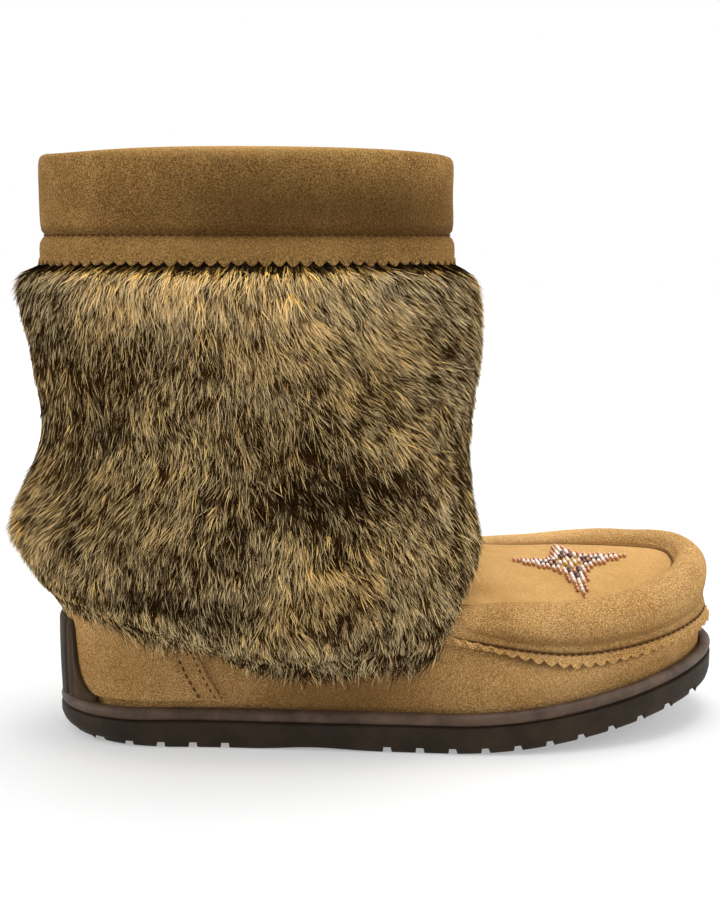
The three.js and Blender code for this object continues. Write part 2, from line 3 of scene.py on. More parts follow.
import bpy
import numpy as np
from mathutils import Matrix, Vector


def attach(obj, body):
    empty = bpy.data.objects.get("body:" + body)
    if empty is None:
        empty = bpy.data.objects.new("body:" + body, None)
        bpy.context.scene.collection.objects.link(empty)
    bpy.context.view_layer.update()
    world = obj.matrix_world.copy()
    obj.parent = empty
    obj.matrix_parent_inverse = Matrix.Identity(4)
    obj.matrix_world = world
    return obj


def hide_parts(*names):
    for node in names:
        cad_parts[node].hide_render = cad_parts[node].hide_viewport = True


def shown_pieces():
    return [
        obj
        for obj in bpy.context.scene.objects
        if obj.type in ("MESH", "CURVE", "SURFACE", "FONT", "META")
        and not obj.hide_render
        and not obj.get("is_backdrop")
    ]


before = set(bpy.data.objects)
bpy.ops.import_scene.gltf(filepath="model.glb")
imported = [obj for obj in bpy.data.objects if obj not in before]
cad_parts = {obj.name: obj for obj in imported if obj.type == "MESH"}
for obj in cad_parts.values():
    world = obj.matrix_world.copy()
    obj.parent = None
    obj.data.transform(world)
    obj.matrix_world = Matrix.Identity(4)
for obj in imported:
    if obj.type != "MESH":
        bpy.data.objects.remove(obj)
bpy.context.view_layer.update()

# Mukluk boot for the right foot. Sizes are in millimetres from the back of the heel, as in the CAD part.
# Angle 0 is the toe, a quarter turn is the inner side of the foot and minus a quarter turn faces the camera.
last = {
    "soleLength": 280.0, "ballBreadth": 102.0, "waistBreadth": 82.0, "heelBreadth": 70.0,
    "toeSwing": 9.0, "toeSpring": 18.0, "springStart": 0.58, "archRise": 1.1,
    "footHeight": 62.0, "bootHeight": 237.0, "ankleHeight": 98.0,
    "shaftLength": 161.5, "shaftBreadth": 100.0, "shaftBack": 0.8, "wall": 2.2,
    "heelMiddle": 38.0, "outerRound": 12.0,
}
rng = np.random.default_rng(7)


# Shape of the last

def ramp(value, start, width):  # 0 up to the start, then a straight rise to 1
    return np.clip((value - start) / width, 0, 1)


def bell(value, middle, width):  # 1 at the middle, fading out on both sides
    return np.exp(-((value - middle) / width) ** 2)


def allRound(count):  # the angles of a closed ring
    return np.arange(count) / count * 2 * math.pi


def degreesRound(angle):  # degrees from the toe, from -180 to 180
    return (np.degrees(angle) + 180) % 360 - 180


def curveThrough(knots, place):  # a curve through [place, value] knots that never overshoots them
    at = np.array([k[0] for k in knots], float)
    value = np.array([k[1] for k in knots], float)
    if len(knots) == 1:
        return np.full(np.shape(place), value[0])
    slope = np.diff(value) / np.diff(at)
    tangent = np.zeros(len(at))
    product = slope[:-1] * slope[1:]
    total = np.where(product > 0, slope[:-1] + slope[1:], 1)
    tangent[1:-1] = np.where(product > 0, 2 * product / total, 0)
    place = np.clip(place, at[0], at[-1])
    i = np.clip(np.searchsorted(at, place, "right") - 1, 0, len(at) - 2)
    width = at[i + 1] - at[i]
    t = (place - at[i]) / width
    return ((2 * t**3 - 3 * t**2 + 1) * value[i] + (t**3 - 2 * t**2 + t) * width * tangent[i]
            + (3 * t**2 - 2 * t**3) * value[i + 1] + (t**3 - t**2) * width * tangent[i + 1])


def endRound(share, roundBack, roundFront, square):
    atBack = share < roundBack
    into = np.where(atBack, 1 - share / roundBack, (share - 1 + roundFront) / roundFront)
    power = np.where(atBack, 2.0, square)
    return (1 - np.clip(into, 0, 1) ** power) ** (1 / power)


def centreLine(x):
    knots = [[0, 0], [0.2, -0.2], [0.45, -0.5], [0.7, -0.05], [0.84, 0.44], [0.9, 0.7], [1, 1]]
    return last["toeSwing"] * curveThrough(knots, x / last["soleLength"])


def springAt(x):
    share = (x / last["soleLength"] - last["springStart"]) / (1 - last["springStart"])
    return last["toeSpring"] * np.clip(share, 0, 1) ** 1.6


def archAt(x):
    return last["archRise"] * curveThrough([[0.29, 0], [0.38, 1], [0.48, 0]], x / last["soleLength"])


def ringPoints(ring, angle):
    share = (1 + np.cos(angle)) / 2
    x = ring["back"] + (ring["front"] - ring["back"]) * share
    half = curveThrough(ring["breadths"], share) * endRound(share, *ring["round"], ring["square"])
    y = ring["swing"] * centreLine(x) + np.where(np.sin(angle) < 0, -1, 1) * half
    turned = y - ring.get("fall", 0) * (np.hypot(y, last["outerRound"]) - last["outerRound"])
    lean = ring["tilt"] * turned * np.clip(x / last["soleLength"] * 2 - 0.7, 0, 1)
    z = curveThrough(ring["heights"], share) + ring["swing"] * springAt(x) + lean
    return np.stack([x, y, z], -1)


# Rows of the foot from the feather edge to the instep: back, front | breadth at heel, waist and ball |
# height at heel, waist, ball and toe | how the ends close | tilt and how much more the outer side falls
footRows = {
    "feather": (0.018, 0.982, 0.857, 0.868, 0.888, 0.126, 0.126, 0.126, 0.126, 0.14, 0.32, 0, 0),
    "rim": (0.017, 0.982, 0.862, 0.872, 0.89, 0.285, 0.285, 0.285, 0.285, 0.14, 0.32, 0, 0),
    "wall": (0.016, 0.984, 0.871, 0.944, 0.904, 0.45, 0.51, 0.38, 0.36, 0.14, 0.32, 0.01, 0),
    "flange": (0.016, 0.985, 0.886, 1.0, 0.88, 0.66, 0.77, 0.51, 0.45, 0.14, 0.32, 0.04, 0),
    "cheek": (0.017, 0.976, 0.9, 1.0, 0.835, 0.8, 0.88, 0.69, 0.62, 0.14, 0.32, 0.08, 0),
    "crest": (0.019, 0.966, 0.914, 1.0, 0.765, 0.92, 0.98, 0.87, 0.785, 0.14, 0.33, 0.19, 0.4),
    "plugEdge": (0.022, 0.936, 0.929, 0.99, 0.65, 1.03, 1.07, 0.91, 0.785, 0.15, 0.35, 0.26, 0.65),
    "plugFront": (0.026, 0.86, 0.957, 0.985, 0.6, 1.15, 1.17, 0.945, 0.875, 0.18, 0.42, 0.27, 0.7),
    "plugBack": (0.029, 0.732, 1.0, 0.98, 0.6, 1.27, 1.28, 1.04, 0.945, 0.25, 0.5, 0.2, 0.6),
    "instep": (0.03, 0.625, 1.06, 0.975, 0.72, 1.4, 1.4, 1.27, 1.14, 0.38, 0.5, 0.03, 0),
}
# Rows of the shaft: back, front, breadth, rise from the ankle to the top
shaftRows = {
    "ankle": (0.046, 0.986, 0.84, 0), "lowerShaft": (0.029, 0.977, 0.86, 0.2),
    "middleShaft": (0.01, 0.986, 0.92, 0.45), "upperShaft": (0.001, 0.999, 0.98, 0.69),
    "top": (0, 1, 1, 0.979),
}
level = {name: i for i, name in enumerate([*footRows, *shaftRows])}
topLevel = len(level) - 1
nearFlange = 0.169 * last["footHeight"]  # millimetres of the wall's surface to a level near the flange


def footRing(row):
    back, front, heel, waist, ball, zHeel, zWaist, zBall, zToe, roundBack, roundFront, tilt, fall = row
    breadths = [[0.15, heel * last["heelBreadth"] / 2], [0.45, waist * last["waistBreadth"] / 2],
                [0.7, ball * last["ballBreadth"] / 2]]
    heights = [[0, zHeel], [0.5, zWaist], [0.8, zBall], [1, zToe]]
    return {"back": back * last["soleLength"], "front": front * last["soleLength"], "breadths": breadths,
            "heights": [[at, z * last["footHeight"]] for at, z in heights],
            "round": (roundBack, roundFront), "square": 2.3, "swing": 1, "tilt": tilt, "fall": fall}


def shaftRing(row):
    back, front, breadth, rise = row
    height = last["ankleHeight"] + rise * (last["bootHeight"] - last["ankleHeight"])
    return {"back": last["shaftBack"] + back * last["shaftLength"],
            "front": last["shaftBack"] + front * last["shaftLength"],
            "breadths": [[0.5, breadth * last["shaftBreadth"] / 2]], "heights": [[0.5, height]],
            "round": (0.5, 0.5), "square": 2.0, "swing": 0, "tilt": 0}


upperRings = [footRing(row) for row in footRows.values()] + [shaftRing(row) for row in shaftRows.values()]


def throughRings(rings, angle, height):  # a smooth surface through rings, at a level counted in rings
    angle, height = np.broadcast_arrays(np.asarray(angle, float), np.asarray(height, float))
    every = np.stack([ringPoints(ring, angle) for ring in rings])
    low = np.clip(np.floor(height).astype(int), 0, len(rings) - 2)
    t = (height - low)[..., None]

    def at(step):
        index = np.clip(low + step, 0, len(rings) - 1)
        return np.take_along_axis(every, index[None, ..., None], 0)[0]

    a, b, c, d = at(-1), at(0), at(1), at(2)
    return b + 0.5 * t * (c - a + t * (2 * a - 5 * b + 4 * c - d + t * (3 * (b - c) + d - a)))


def unit(vectors):
    return vectors / np.maximum(np.linalg.norm(vectors, axis=-1, keepdims=True), 1e-9)


def upperNormal(angle, height):
    step = 0.01
    around = throughRings(upperRings, angle + step, height) - throughRings(upperRings, angle - step, height)
    upwards = (throughRings(upperRings, angle, np.minimum(height + step, topLevel))
               - throughRings(upperRings, angle, np.maximum(height - step, 0)))
    return unit(np.cross(around, upwards))


def upperAt(angle, height, offset=0.0):  # the outside of the upper moved along its normal
    points = throughRings(upperRings, angle, height)
    return points + np.broadcast_to(offset, points.shape[:-1])[..., None] * upperNormal(angle, height)


def shaftAt(angle, height, offset):  # a point round the shaft at a height in millimetres, moved outwards
    rises = [row[3] for row in shaftRows.values()]
    rise = (np.asarray(height, float) - last["ankleHeight"]) / (last["bootHeight"] - last["ankleHeight"])
    points = upperAt(angle, level["ankle"] + np.interp(rise, rises, range(len(rises))), offset)
    points[..., 2] = height
    return points


def evenAngles(start, end, height, count):  # angles, in degrees, that are evenly far apart along a level
    fine = np.radians(np.linspace(start, end, 900))
    points = throughRings(upperRings, fine, np.full(900, float(height)))
    walked = np.append(0, np.cumsum(np.linalg.norm(np.diff(points, axis=0), axis=1)))
    return np.interp(np.linspace(0, walked[-1], count), walked, fine), walked[-1]


# Meshes

def gridFaces(rows, columns, first=0, closed=False, flip=False):
    r = np.arange(rows - 1)[:, None] * columns
    c = np.arange(columns if closed else columns - 1)[None, :]
    d = (c + 1) % columns
    quads = np.stack([r + c, r + d, r + columns + d, r + columns + c], -1).reshape(-1, 4) + first
    return quads[:, ::-1] if flip else quads


def fanCap(rows, columns, flip=False):  # strips across a ring, from side to side
    i = np.arange(columns // 2)
    quads = np.stack([i, i + 1, columns - i - 1, (columns - i) % columns], -1) + rows * columns
    return quads if flip else quads[:, ::-1]


def cappedFaces(rows, columns):  # rings up a body with a cap at each end
    return [gridFaces(rows, columns, closed=True), fanCap(0, columns), fanCap(rows - 1, columns, flip=True)]


def addMesh(name, points, faces, materials, slots=None, smoothAngle=40):
    mesh = bpy.data.meshes.new(name)
    shifted = (np.asarray(points).reshape(-1, 3) - (last["heelMiddle"], 0, 0)) * 0.001
    mesh.from_pydata(shifted.tolist(), [], [list(dict.fromkeys(face)) for face in np.asarray(faces).tolist()])
    for material in materials:
        mesh.materials.append(material)
    if slots is not None:
        mesh.polygons.foreach_set("material_index", np.asarray(slots, np.int32))
    mesh.shade_smooth()
    if smoothAngle < 180:
        mesh.set_sharp_from_angle(angle=math.radians(smoothAngle))
    mesh.update()
    piece = bpy.data.objects.new(name, mesh)
    bpy.context.scene.collection.objects.link(piece)
    return piece


def sheetBody(outer, inner):  # a panel with thickness; tags are 0 outside, 1 inside, 2 cut edge
    rows, columns = outer.shape[:2]
    count = rows * columns
    o = np.arange(count).reshape(rows, columns)
    i = o + count

    def strip(a, b, c, d):
        return np.stack([a, b, c, d], -1).reshape(-1, 4)

    parts = [gridFaces(rows, columns), gridFaces(rows, columns, count, flip=True),
             strip(o[0, :-1], i[0, :-1], i[0, 1:], o[0, 1:]),
             strip(i[-1, :-1], o[-1, :-1], o[-1, 1:], i[-1, 1:]),
             strip(o[:-1, 0], o[1:, 0], i[1:, 0], i[:-1, 0]),
             strip(o[:-1, -1], i[:-1, -1], i[1:, -1], o[1:, -1])]
    tags = np.concatenate([np.full(len(part), min(k, 2)) for k, part in enumerate(parts)])
    return np.concatenate([outer.reshape(-1, 3), inner.reshape(-1, 3)]), np.concatenate(parts), tags


def tubeBody(rings):  # rings up the outside and down the inside, closed on themselves
    rows, columns = rings.shape[:2]
    faces = gridFaces(rows + 1, columns, closed=True) % (rows * columns)
    return rings.reshape(-1, 3), faces


def shadeBy(piece, values):  # painted shade: how deep each vertex lies in a seam or under an edge, from 0 to 1
    attribute = piece.data.color_attributes.new("shade", "FLOAT_COLOR", "POINT")
    rgba = np.ones((len(values), 4), np.float32)
    rgba[:, :3] = np.asarray(values)[:, None]
    attribute.data.foreach_set("color", rgba.ravel())
    return piece


def place(piece, slot, *nodes):
    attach(piece, "root")
    if nodes:
        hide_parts(*nodes)
    return piece


# Shader expressions

class Wire:  # a node's output that can stand in an expression
    def __init__(self, paint, socket):
        self.paint, self.socket = paint, socket

    def math(self, operation, first, second):
        return self.paint.node("ShaderNodeMath", {"operation": operation}, {0: first, 1: second})

    def __add__(self, other):
        return self.math("ADD", self, other)

    def __radd__(self, other):
        return self.math("ADD", other, self)

    def __sub__(self, other):
        return self.math("SUBTRACT", self, other)

    def __rsub__(self, other):
        return self.math("SUBTRACT", other, self)

    def __mul__(self, other):
        return self.math("MULTIPLY", self, other)

    def __rmul__(self, other):
        return self.math("MULTIPLY", other, self)


class Paint:  # the nodes of one material, or of the sky
    def __init__(self, name, sky=False):
        self.material = bpy.data.worlds.new(name) if sky else bpy.data.materials.new(name)
        self.material.use_nodes = True
        self.tree = self.material.node_tree
        self.shader = self.tree.nodes["Background" if sky else "Principled BSDF"]

    def node(self, kind, settings, inputs, output=0):
        made = self.tree.nodes.new(kind)
        for key, value in settings.items():
            setattr(made, key, value)
        for key, value in inputs.items():
            self.feed(made.inputs[key], value)
        return Wire(self, made.outputs[output])

    def feed(self, socket, value):
        if isinstance(value, Wire):
            self.tree.links.new(value.socket, socket)
        else:
            socket.default_value = value

    def set(self, sockets):
        for key, value in sockets.items():
            self.feed(self.shader.inputs[key], value)

    def vector(self, operation, first, second=(0, 0, 0), output=0):
        return self.node("ShaderNodeVectorMath", {"operation": operation}, {0: first, 1: second}, output)

    def attribute(self, name, output):
        return self.node("ShaderNodeAttribute", {"attribute_name": name}, {}, output)

    def spot(self):
        return self.node("ShaderNodeTexCoord", {}, {}, "Object")

    def shifted(self, metres):  # another place in the same noise
        return self.vector("ADD", self.spot(), (metres, metres, metres))

    def facing(self, direction):  # how far the surface is turned towards a direction, from 1 to -1
        normal = self.node("ShaderNodeNewGeometry", {}, {}, "Normal")
        return self.vector("DOT_PRODUCT", normal, direction, "Value")

    def distance(self, middle, stretch):  # how far a place is from a middle, in shares of the stretch
        away = self.vector("SUBTRACT", self.spot(), middle)
        return self.vector("LENGTH", self.vector("MULTIPLY", away, stretch), output="Value")

    def around(self, x, z, wide, tall):  # 1 at a place seen from the side, 0 at its edge
        middle = ((x - last["heelMiddle"]) * 0.001, 0, z * 0.001)
        return self.between(self.distance(middle, (1000 / wide, 0, 1000 / tall)), 1.0, 0.0)

    def noise(self, size, detail=2.0, rough=0.5, at=None):  # size is the width of a patch in millimetres
        return self.node("ShaderNodeTexNoise", {}, {"Vector": at or self.spot(), "Scale": 1000 / size,
                                                   "Detail": detail, "Roughness": rough}, "Fac")

    def between(self, value, low, high, to=(0.0, 1.0)):
        return self.node("ShaderNodeMapRange", {"interpolation_type": "SMOOTHSTEP"},
                         {0: value, 1: low, 2: high, 3: to[0], 4: to[1]})

    def blend(self, share, first, second):
        return self.node("ShaderNodeMix", {"data_type": "RGBA"}, {0: share, 6: first, 7: second}, 2)

    def bump(self, height, millimetres):
        bumped = self.node("ShaderNodeBump", {}, {"Height": height, "Distance": millimetres * 0.001})
        self.set({"Normal": bumped})


def darker(colour, share):
    return tuple(share * c for c in colour[:3]) + (1.0,)


def tone(red, green, blue):  # a colour as it is seen on a screen, 0 to 255
    linear = (((c / 255 + 0.055) / 1.055) ** 2.4 if c > 10 else c / 255 / 12.92 for c in (red, green, blue))
    return (*linear, 1.0)


def suede(name, light, main, dark, nap=1.0, shades=()):
    # Shades are places seen from the side: x, z, half-widths, and how much darker or lighter (negative).
    # Shades are painted shade and painted light, laid into the colour.
    paint = Paint(name)
    broad = paint.between(paint.noise(26.0, 3.0, 0.55), 0.3, 0.72)
    cloud = paint.between(paint.noise(6.0, 2.0, 0.5), 0.3, 0.7)
    # The nap's grain: its own tone, partly painted highlights and shadows of its fine relief.
    pile = paint.between(paint.noise(0.56, 1.0, 0.5), 0.36, 0.66)
    speck = paint.between(paint.noise(0.5, 1.0, 0.5, paint.shifted(0.4)), 0.5, 0.72)
    # Painted shade: the suede is darker where it faces down.
    under = paint.between(paint.facing((0, 0, 1)), 0.15, -0.55)
    colour = paint.blend(broad * 0.5, main, light)
    colour = paint.blend((1 - cloud) * 0.16, colour, dark)
    colour = paint.blend((1 - pile) * 0.72 * nap, colour, dark)
    colour = paint.blend(speck * 0.7 * nap, colour, light)
    colour = paint.blend(under * 0.5, colour, dark)
    for x, z, wide, tall, share in shades:
        patch = paint.around(x, z, wide, tall)
        colour = paint.blend(patch * abs(share), colour, dark if share > 0 else light)
    # Painted shade from each mesh's shade attribute, in seams and under the flange's teeth.
    colour = paint.blend(paint.attribute("shade", "Fac"), colour, darker(dark, 0.3))
    paint.set({"Base Color": colour, "Roughness": 0.95, "Specular IOR Level": 0.06, "Sheen Weight": 0.12,
               "Sheen Roughness": 0.4, "Sheen Tint": light})
    paint.bump(paint.noise(0.75, 2.0, 0.6) + paint.noise(3.4, 2.0) * 0.5, 0.85 * nap)
    return paint.material


suedeColours = {"light": tone(230, 187, 126), "main": tone(187, 143, 85), "dark": tone(104, 70, 32)}
# Painted shade under the fur and at the heel, painted light at the front and on the roll near the toe.
suedeLightAndShade = [(118, 20, 60, 30, 0.66), (30, 30, 60, 30, 0.2), (205, 30, 40, 18, -0.15),
               (200, 70, 80, 11, -0.5)]
collarColours = {"light": tone(190, 150, 90), "main": tone(138, 102, 56), "dark": tone(58, 36, 10)}
# Painted shade across the collar's middle, painted light on its top edge and hem; partly its brushed nap.
collarLightAndShade = [(92, 214, 92, 24, 0.72), (142, 212, 44, 24, 0.62), (80, 238, 90, 7, -0.6),
                (80, 199, 95, 6, -0.2)]
plugColours = {"light": tone(212, 172, 114), "main": tone(192, 150, 92), "dark": tone(150, 110, 62)}
wallSuede = suede("wall_suede", **suedeColours, shades=suedeLightAndShade)
collarSuede = suede("collar_suede", **collarColours, shades=collarLightAndShade)
plugSuede = suede("plug_suede", **plugColours, nap=0.55)


def mottled(name, first, second, patch, contrast=None, rough=0.95, smears=None, gloss=0.5, sheen=0.0,
            grain=None, depth=0.0):
    # Two colours in patches. Smears make parts of it rougher, and the grain is as deep as it says.
    paint = Paint(name)
    share = paint.noise(*patch)
    if contrast:
        share = paint.between(share, *contrast)
    paint.set({"Base Color": paint.blend(share, tone(*first), tone(*second)),
               "Roughness": paint.noise(smears, 3.0) * 0.2 + rough if smears else rough,
               "Specular IOR Level": gloss, "Sheen Weight": sheen})
    if grain:
        paint.bump(paint.noise(*grain), depth)
    return paint.material


cutEdge = mottled("cut_edge", (214, 176, 120), (168, 126, 76), (0.6,), grain=(0.4,), depth=0.3)
rubber = mottled("brown_rubber", (36, 26, 15), (50, 38, 24), (18, 4.0, 0.6), contrast=(0.35, 0.7), rough=0.55,
                 smears=4, gloss=0.2, grain=(0.5,), depth=0.08)
rand = mottled("rand_rubber", (60, 45, 34), (92, 72, 57), (11, 4.0, 0.6), contrast=(0.3, 0.72), rough=0.42,
               smears=5, gloss=0.3, grain=(0.6,), depth=0.06)
kickRubber = mottled("kick_rubber", (42, 30, 19), (74, 56, 38), (9, 3.0, 0.6), rough=0.5, smears=5, gloss=0.1,
                     grain=(0.6,), depth=0.06)
fleece = mottled("cream_fleece", (150, 128, 92), (232, 216, 184), (3.2, 4.0, 0.65), contrast=(0.35, 0.65),
                 rough=1.0, gloss=0.1, sheen=0.3, grain=(3.2, 4.0, 0.65), depth=3.0)
thread = mottled("waxed_thread", (58, 34, 14), (98, 64, 30), (1.0,), rough=0.8, gloss=0.1)
undercoat = mottled("undercoat", (36, 26, 15), (66, 49, 28), (2.0, 3.0), rough=1.0, grain=(1.0, 3.0),
                    depth=1.0)
print("materials made")


# Camera, floor and light

studio = {  # in metres; floor, its glow and the sky are grey values from their darkest to their palest place
    "eye": (0.0594, -0.5645, 0.203), "aim": (0.089, 0, 0.1155), "lens": 54.48, "sensor": 36,
    "floor": (0.45, 0.9), "glow": (0.36, 0.6), "paleFrom": (0.26, 1.3), "sky": (0.28, 1.0), "boxSize": 0.7,
    "softboxes": {  # where it stands, what it looks at, its power
        "key": ((0.16, 0.1, 1.0), (0.1, 0, 0.06), 8.5), "left": ((-0.95, -0.25, 0.55), (0.04, 0, 0.12), 3.5),
        "right": ((1.1, -0.35, 0.5), (0.08, 0, 0.08), 4.0),
    },
}


def stand(name, data, eye, aim):  # a camera or a light that looks at a place
    made = bpy.data.objects.new(name, data)
    bpy.context.scene.collection.objects.link(made)
    made.location = eye
    made.rotation_euler = (Vector(aim) - Vector(eye)).to_track_quat("-Z", "Y").to_euler()
    return made


def addCamera():
    camera = stand("camera", bpy.data.cameras.new("camera"), studio["eye"], studio["aim"])
    camera.data.lens = studio["lens"]
    camera.data.sensor_width = studio["sensor"]
    bpy.context.scene.camera = camera


def addSoftboxes():
    for name, (eye, aim, power) in studio["softboxes"].items():
        box = stand(name, bpy.data.lights.new(name, "AREA"), eye, aim)
        box.data.size = studio["boxSize"]
        box.data.energy = power


def addFloor():
    paint = Paint("pale_floor")
    away = paint.between(paint.distance((0.1, 0, 0), (1, 1, 1)), *studio["paleFrom"])
    floorTones, glowTones = ([(value, value, value, 1) for value in studio[key]] for key in ("floor", "glow"))
    paint.set({"Base Color": paint.blend(away, *floorTones), "Roughness": 0.8,
               "Emission Color": paint.blend(away, *glowTones), "Emission Strength": 1.0})
    points = np.array([[-4, -4, 0], [4, -4, 0], [4, 4, 0], [-4, 4, 0]]) * 1000 + [38, 0, -0.2]
    addMesh("floor", points, [[0, 1, 2, 3]], [paint.material])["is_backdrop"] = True


def addSky():  # dim on the camera's side, but the backdrop itself stays white all round
    paint = Paint("studio", sky=True)
    outwards = paint.node("ShaderNodeTexCoord", {}, {}, "Generated")
    facing = paint.vector("DOT_PRODUCT", outwards, (0, 0.8, 0.6), "Value")
    directly = paint.node("ShaderNodeLightPath", {}, {}, "Is Camera Ray")
    dome = paint.between(facing, -0.75, 0.05, studio["sky"])
    paint.set({"Color": (1, 1, 1, 1), "Strength": dome + directly * (1 - dome)})
    bpy.context.scene.world = paint.material
    bpy.context.scene.view_settings.view_transform = "Standard"


addCamera()
addFloor()
addSky()
addSoftboxes()
print("camera, floor and light set")


# Sole

sole = {
    "tread": 7.5, "rimHeight": 16.2, "grooveHeight": 11.2, "rimWidth": 4.7, "heelRound": 7.0, "columns": 320,
    "lugPitch": 13.0, "lugGap": 3.0, "lugDepth": 2.4, "bareWaist": (0.27, 0.45), "kickHeight": 52.0,
}


def soleRing(angle, inset, height, heelInset=0.0):
    ring = {"back": 0, "front": last["soleLength"], "swing": 1, "tilt": 0, "heights": [[0, 0]],
            "breadths": [[0.15, last["heelBreadth"] / 2], [0.45, last["waistBreadth"] / 2],
                         [0.7, last["ballBreadth"] / 2]],
            "round": (0.14, 0.32), "square": 2.3}
    points = ringPoints(ring, angle)
    along = ringPoints(ring, angle + 0.01) - ringPoints(ring, angle - 0.01)
    inwards = unit(np.stack([-along[:, 1], along[:, 0], np.zeros(len(angle))], -1))
    heelShare = np.clip(1 - points[:, 0] / (2 * last["heelBreadth"] / 3), 0, 1)
    points = points + inwards * (inset + heelInset * heelShare)[:, None]
    x = points[:, 0]
    points[:, 2] = height + springAt(x) + archAt(x) * max(1 - height / sole["grooveHeight"], 0)
    return points


def addSole():
    angle = allRound(sole["columns"])
    top, groove, length = sole["rimHeight"], sole["grooveHeight"], last["soleLength"]
    bulge = (top - groove) / 4
    profile = [  # inset, height, share of the heel's rounding, and 1 for the paler rim
        (0.35, sole["lugDepth"], 0.45, 0), (0.05, 3.6, 0.25, 0), (0, 4.8, 0.13, 0), (0, 7.2, 0, 0),
        (0, groove - 1.2, 0, 0), (0.12, groove - 0.75, 0, 0), (0.8, groove - 0.4, 0, 0), (1.6, groove, 0, 0),
        (1.1, groove + 0.35, 0, 1), (0.5, groove + 0.8, 0, 1), (0.12, groove + 1.7, 0, 1),
        (0, top - 2 * bulge, 0, 1), (0.25, top - 1.3 * bulge, 0, 1), (0.75, top - 0.75 * bulge, 0, 1),
        (1.6, top - 0.25 * bulge, 0, 1), (2.6, top, 0, 1), (3.8, top - 0.12 * bulge, 0, 1),
        (4.6, top - 0.5 * bulge, 0, 1), (sole["rimWidth"], top - bulge, 0, 1),
        (sole["rimWidth"], sole["tread"], 0, 0),
    ]
    rings = np.stack([soleRing(angle, inset, height, share * sole["heelRound"])
                      for inset, height, share, _ in profile])
    rows, columns = rings.shape[:2]
    faces = cappedFaces(rows, columns)
    slots = [np.repeat([pale for *_, pale in profile[1:]], columns), np.zeros(columns)]
    points = [rings.reshape(-1, 3)]
    first = rows * columns
    starts = np.arange(last["heelMiddle"] - 1.5 * sole["lugPitch"], length, sole["lugPitch"])
    waistFrom, waistTo = sole["bareWaist"]
    treaded = [x for x in starts if x < waistFrom * length or x > waistTo * length]
    edges = [-10, *treaded, 400]
    for before, after in zip(edges, edges[1:]):  # each lug is a slab between two cross grooves
        start, end = before + sole["lugGap"] / 2, after - sole["lugGap"] / 2
        steps = max(int((min(end, length) - max(start, 0)) / 2.5), 6)
        near = np.linspace(max(start, 0.2), min(end, length - 0.2), steps)
        share = np.clip(near / length, 0, 1)
        side = np.arccos(np.clip(2 * share - 1, -1, 1))
        around = np.concatenate([-side, side[::-1]])
        slab = []
        lugProfile = (0.35, sole["lugDepth"] + 0.3, 0.45), (0.45, 1.6, 0.5), (0.9, 0.5, 0.75), (1.6, 0, 1)
        for inset, height, heel in lugProfile:
            ring = soleRing(around, inset, height, heel * sole["heelRound"])
            ring[:, 0] = np.clip(ring[:, 0], start + 0.25 * inset, end - 0.25 * inset)
            slab.append(ring)
        slab = np.stack(slab)[::-1]
        count = slab.shape[1]
        faces.append(gridFaces(4, count, first, closed=True))
        i = np.arange(count // 2 - 1)
        cap = np.stack([i, i + 1, count - i - 2, count - i - 1], -1)
        faces += [cap[:, ::-1] + first, cap + first + 3 * count]
        slots.append(np.zeros(3 * count + 2 * len(i)))
        points.append(slab.reshape(-1, 3))
        first += 4 * count
    return addMesh("sole", np.concatenate(points), np.concatenate(faces), [rubber, rand],
                   np.concatenate(slots), 50)


kickColumns = {  # degrees from the middle of the heel: share of the plate's height, and stand-off
    "share": [[0, 1.04], [6, 1.03], [11.6, 1], [15.6, 1], [16.8, 0.88], [18.6, 0.45], [21.5, 0.2],
              [26.5, 0.04]],
    "lift": [[0, 4.4], [6, 4.3], [11.2, 3.9], [12.6, 2.8], [13.8, 3.8], [15.6, 3.6], [16.8, 3.3], [18.6, 3.6],
             [21.5, 3.5], [26.5, 3.2]],
}


def addKickPlate():
    reach, groove = 26.5, 12.8  # degrees to the plate's edge and to the groove beside its middle rib
    degrees = np.linspace(-reach, reach, 107)
    share = curveThrough(kickColumns["share"], abs(degrees))
    lift = curveThrough(kickColumns["lift"], abs(degrees))
    foot, rim = level["rim"] - 0.5, level["rim"] + 0.02
    kickTop = level["wall"] + (sole["kickHeight"] / last["footHeight"] - 0.45) / 0.21
    top = rim + (kickTop - rim) * share
    climb = np.array([*np.linspace(0, 0.9, 19), 0.94, 0.97, 0.99, 1])[:, None]
    height = foot + (top - foot) * climb
    angle = math.pi + np.radians(degrees)
    rounding = 1.3 * ramp(climb, 0.9, 0.1) ** 2 + 1.2 * ramp(abs(degrees), reach - 1.2, 1.2) ** 2
    points, faces, _ = sheetBody(upperAt(angle, height, lift - rounding), upperAt(angle, height, 2.15))
    columnOf = np.concatenate([np.tile(abs(degrees[:-1] + 0.25), len(climb) - 1)] * 2)
    pale = np.zeros(len(faces))
    pale[:len(columnOf)] = columnOf > groove
    return addMesh("kick_plate", points, faces, [rubber, kickRubber], pale, 60)


place(addSole(), "rubber", "outsole")
place(addKickPlate(), "rubber")
print("sole made")


# Upper and its lining

# The last entry is how dark the painted shadow under the flange's teeth is.
upper = {"columns": 240, "footRows": 64, "shaftRows": 40, "flangeReach": 98, "shadowUnderFlange": 0.62}
upperCreases = [  # degrees round, level, half-width in degrees and levels, depth in millimetres
    (-82, 2.2, 2.4, 1.3, 0.5), (-100, 2.4, 5, 1.4, 0.7), (-62, 1.9, 4, 0.8, 0.35), (-118, 2.6, 4, 1.5, 0.5),
    (84, 2.2, 3, 1.3, 0.5), (103, 2.4, 5, 1.4, 0.6), (60, 1.9, 4, 0.8, 0.35), (-30, 1.8, 6, 0.7, 0.3),
    (25, 1.8, 6, 0.7, 0.3),
]


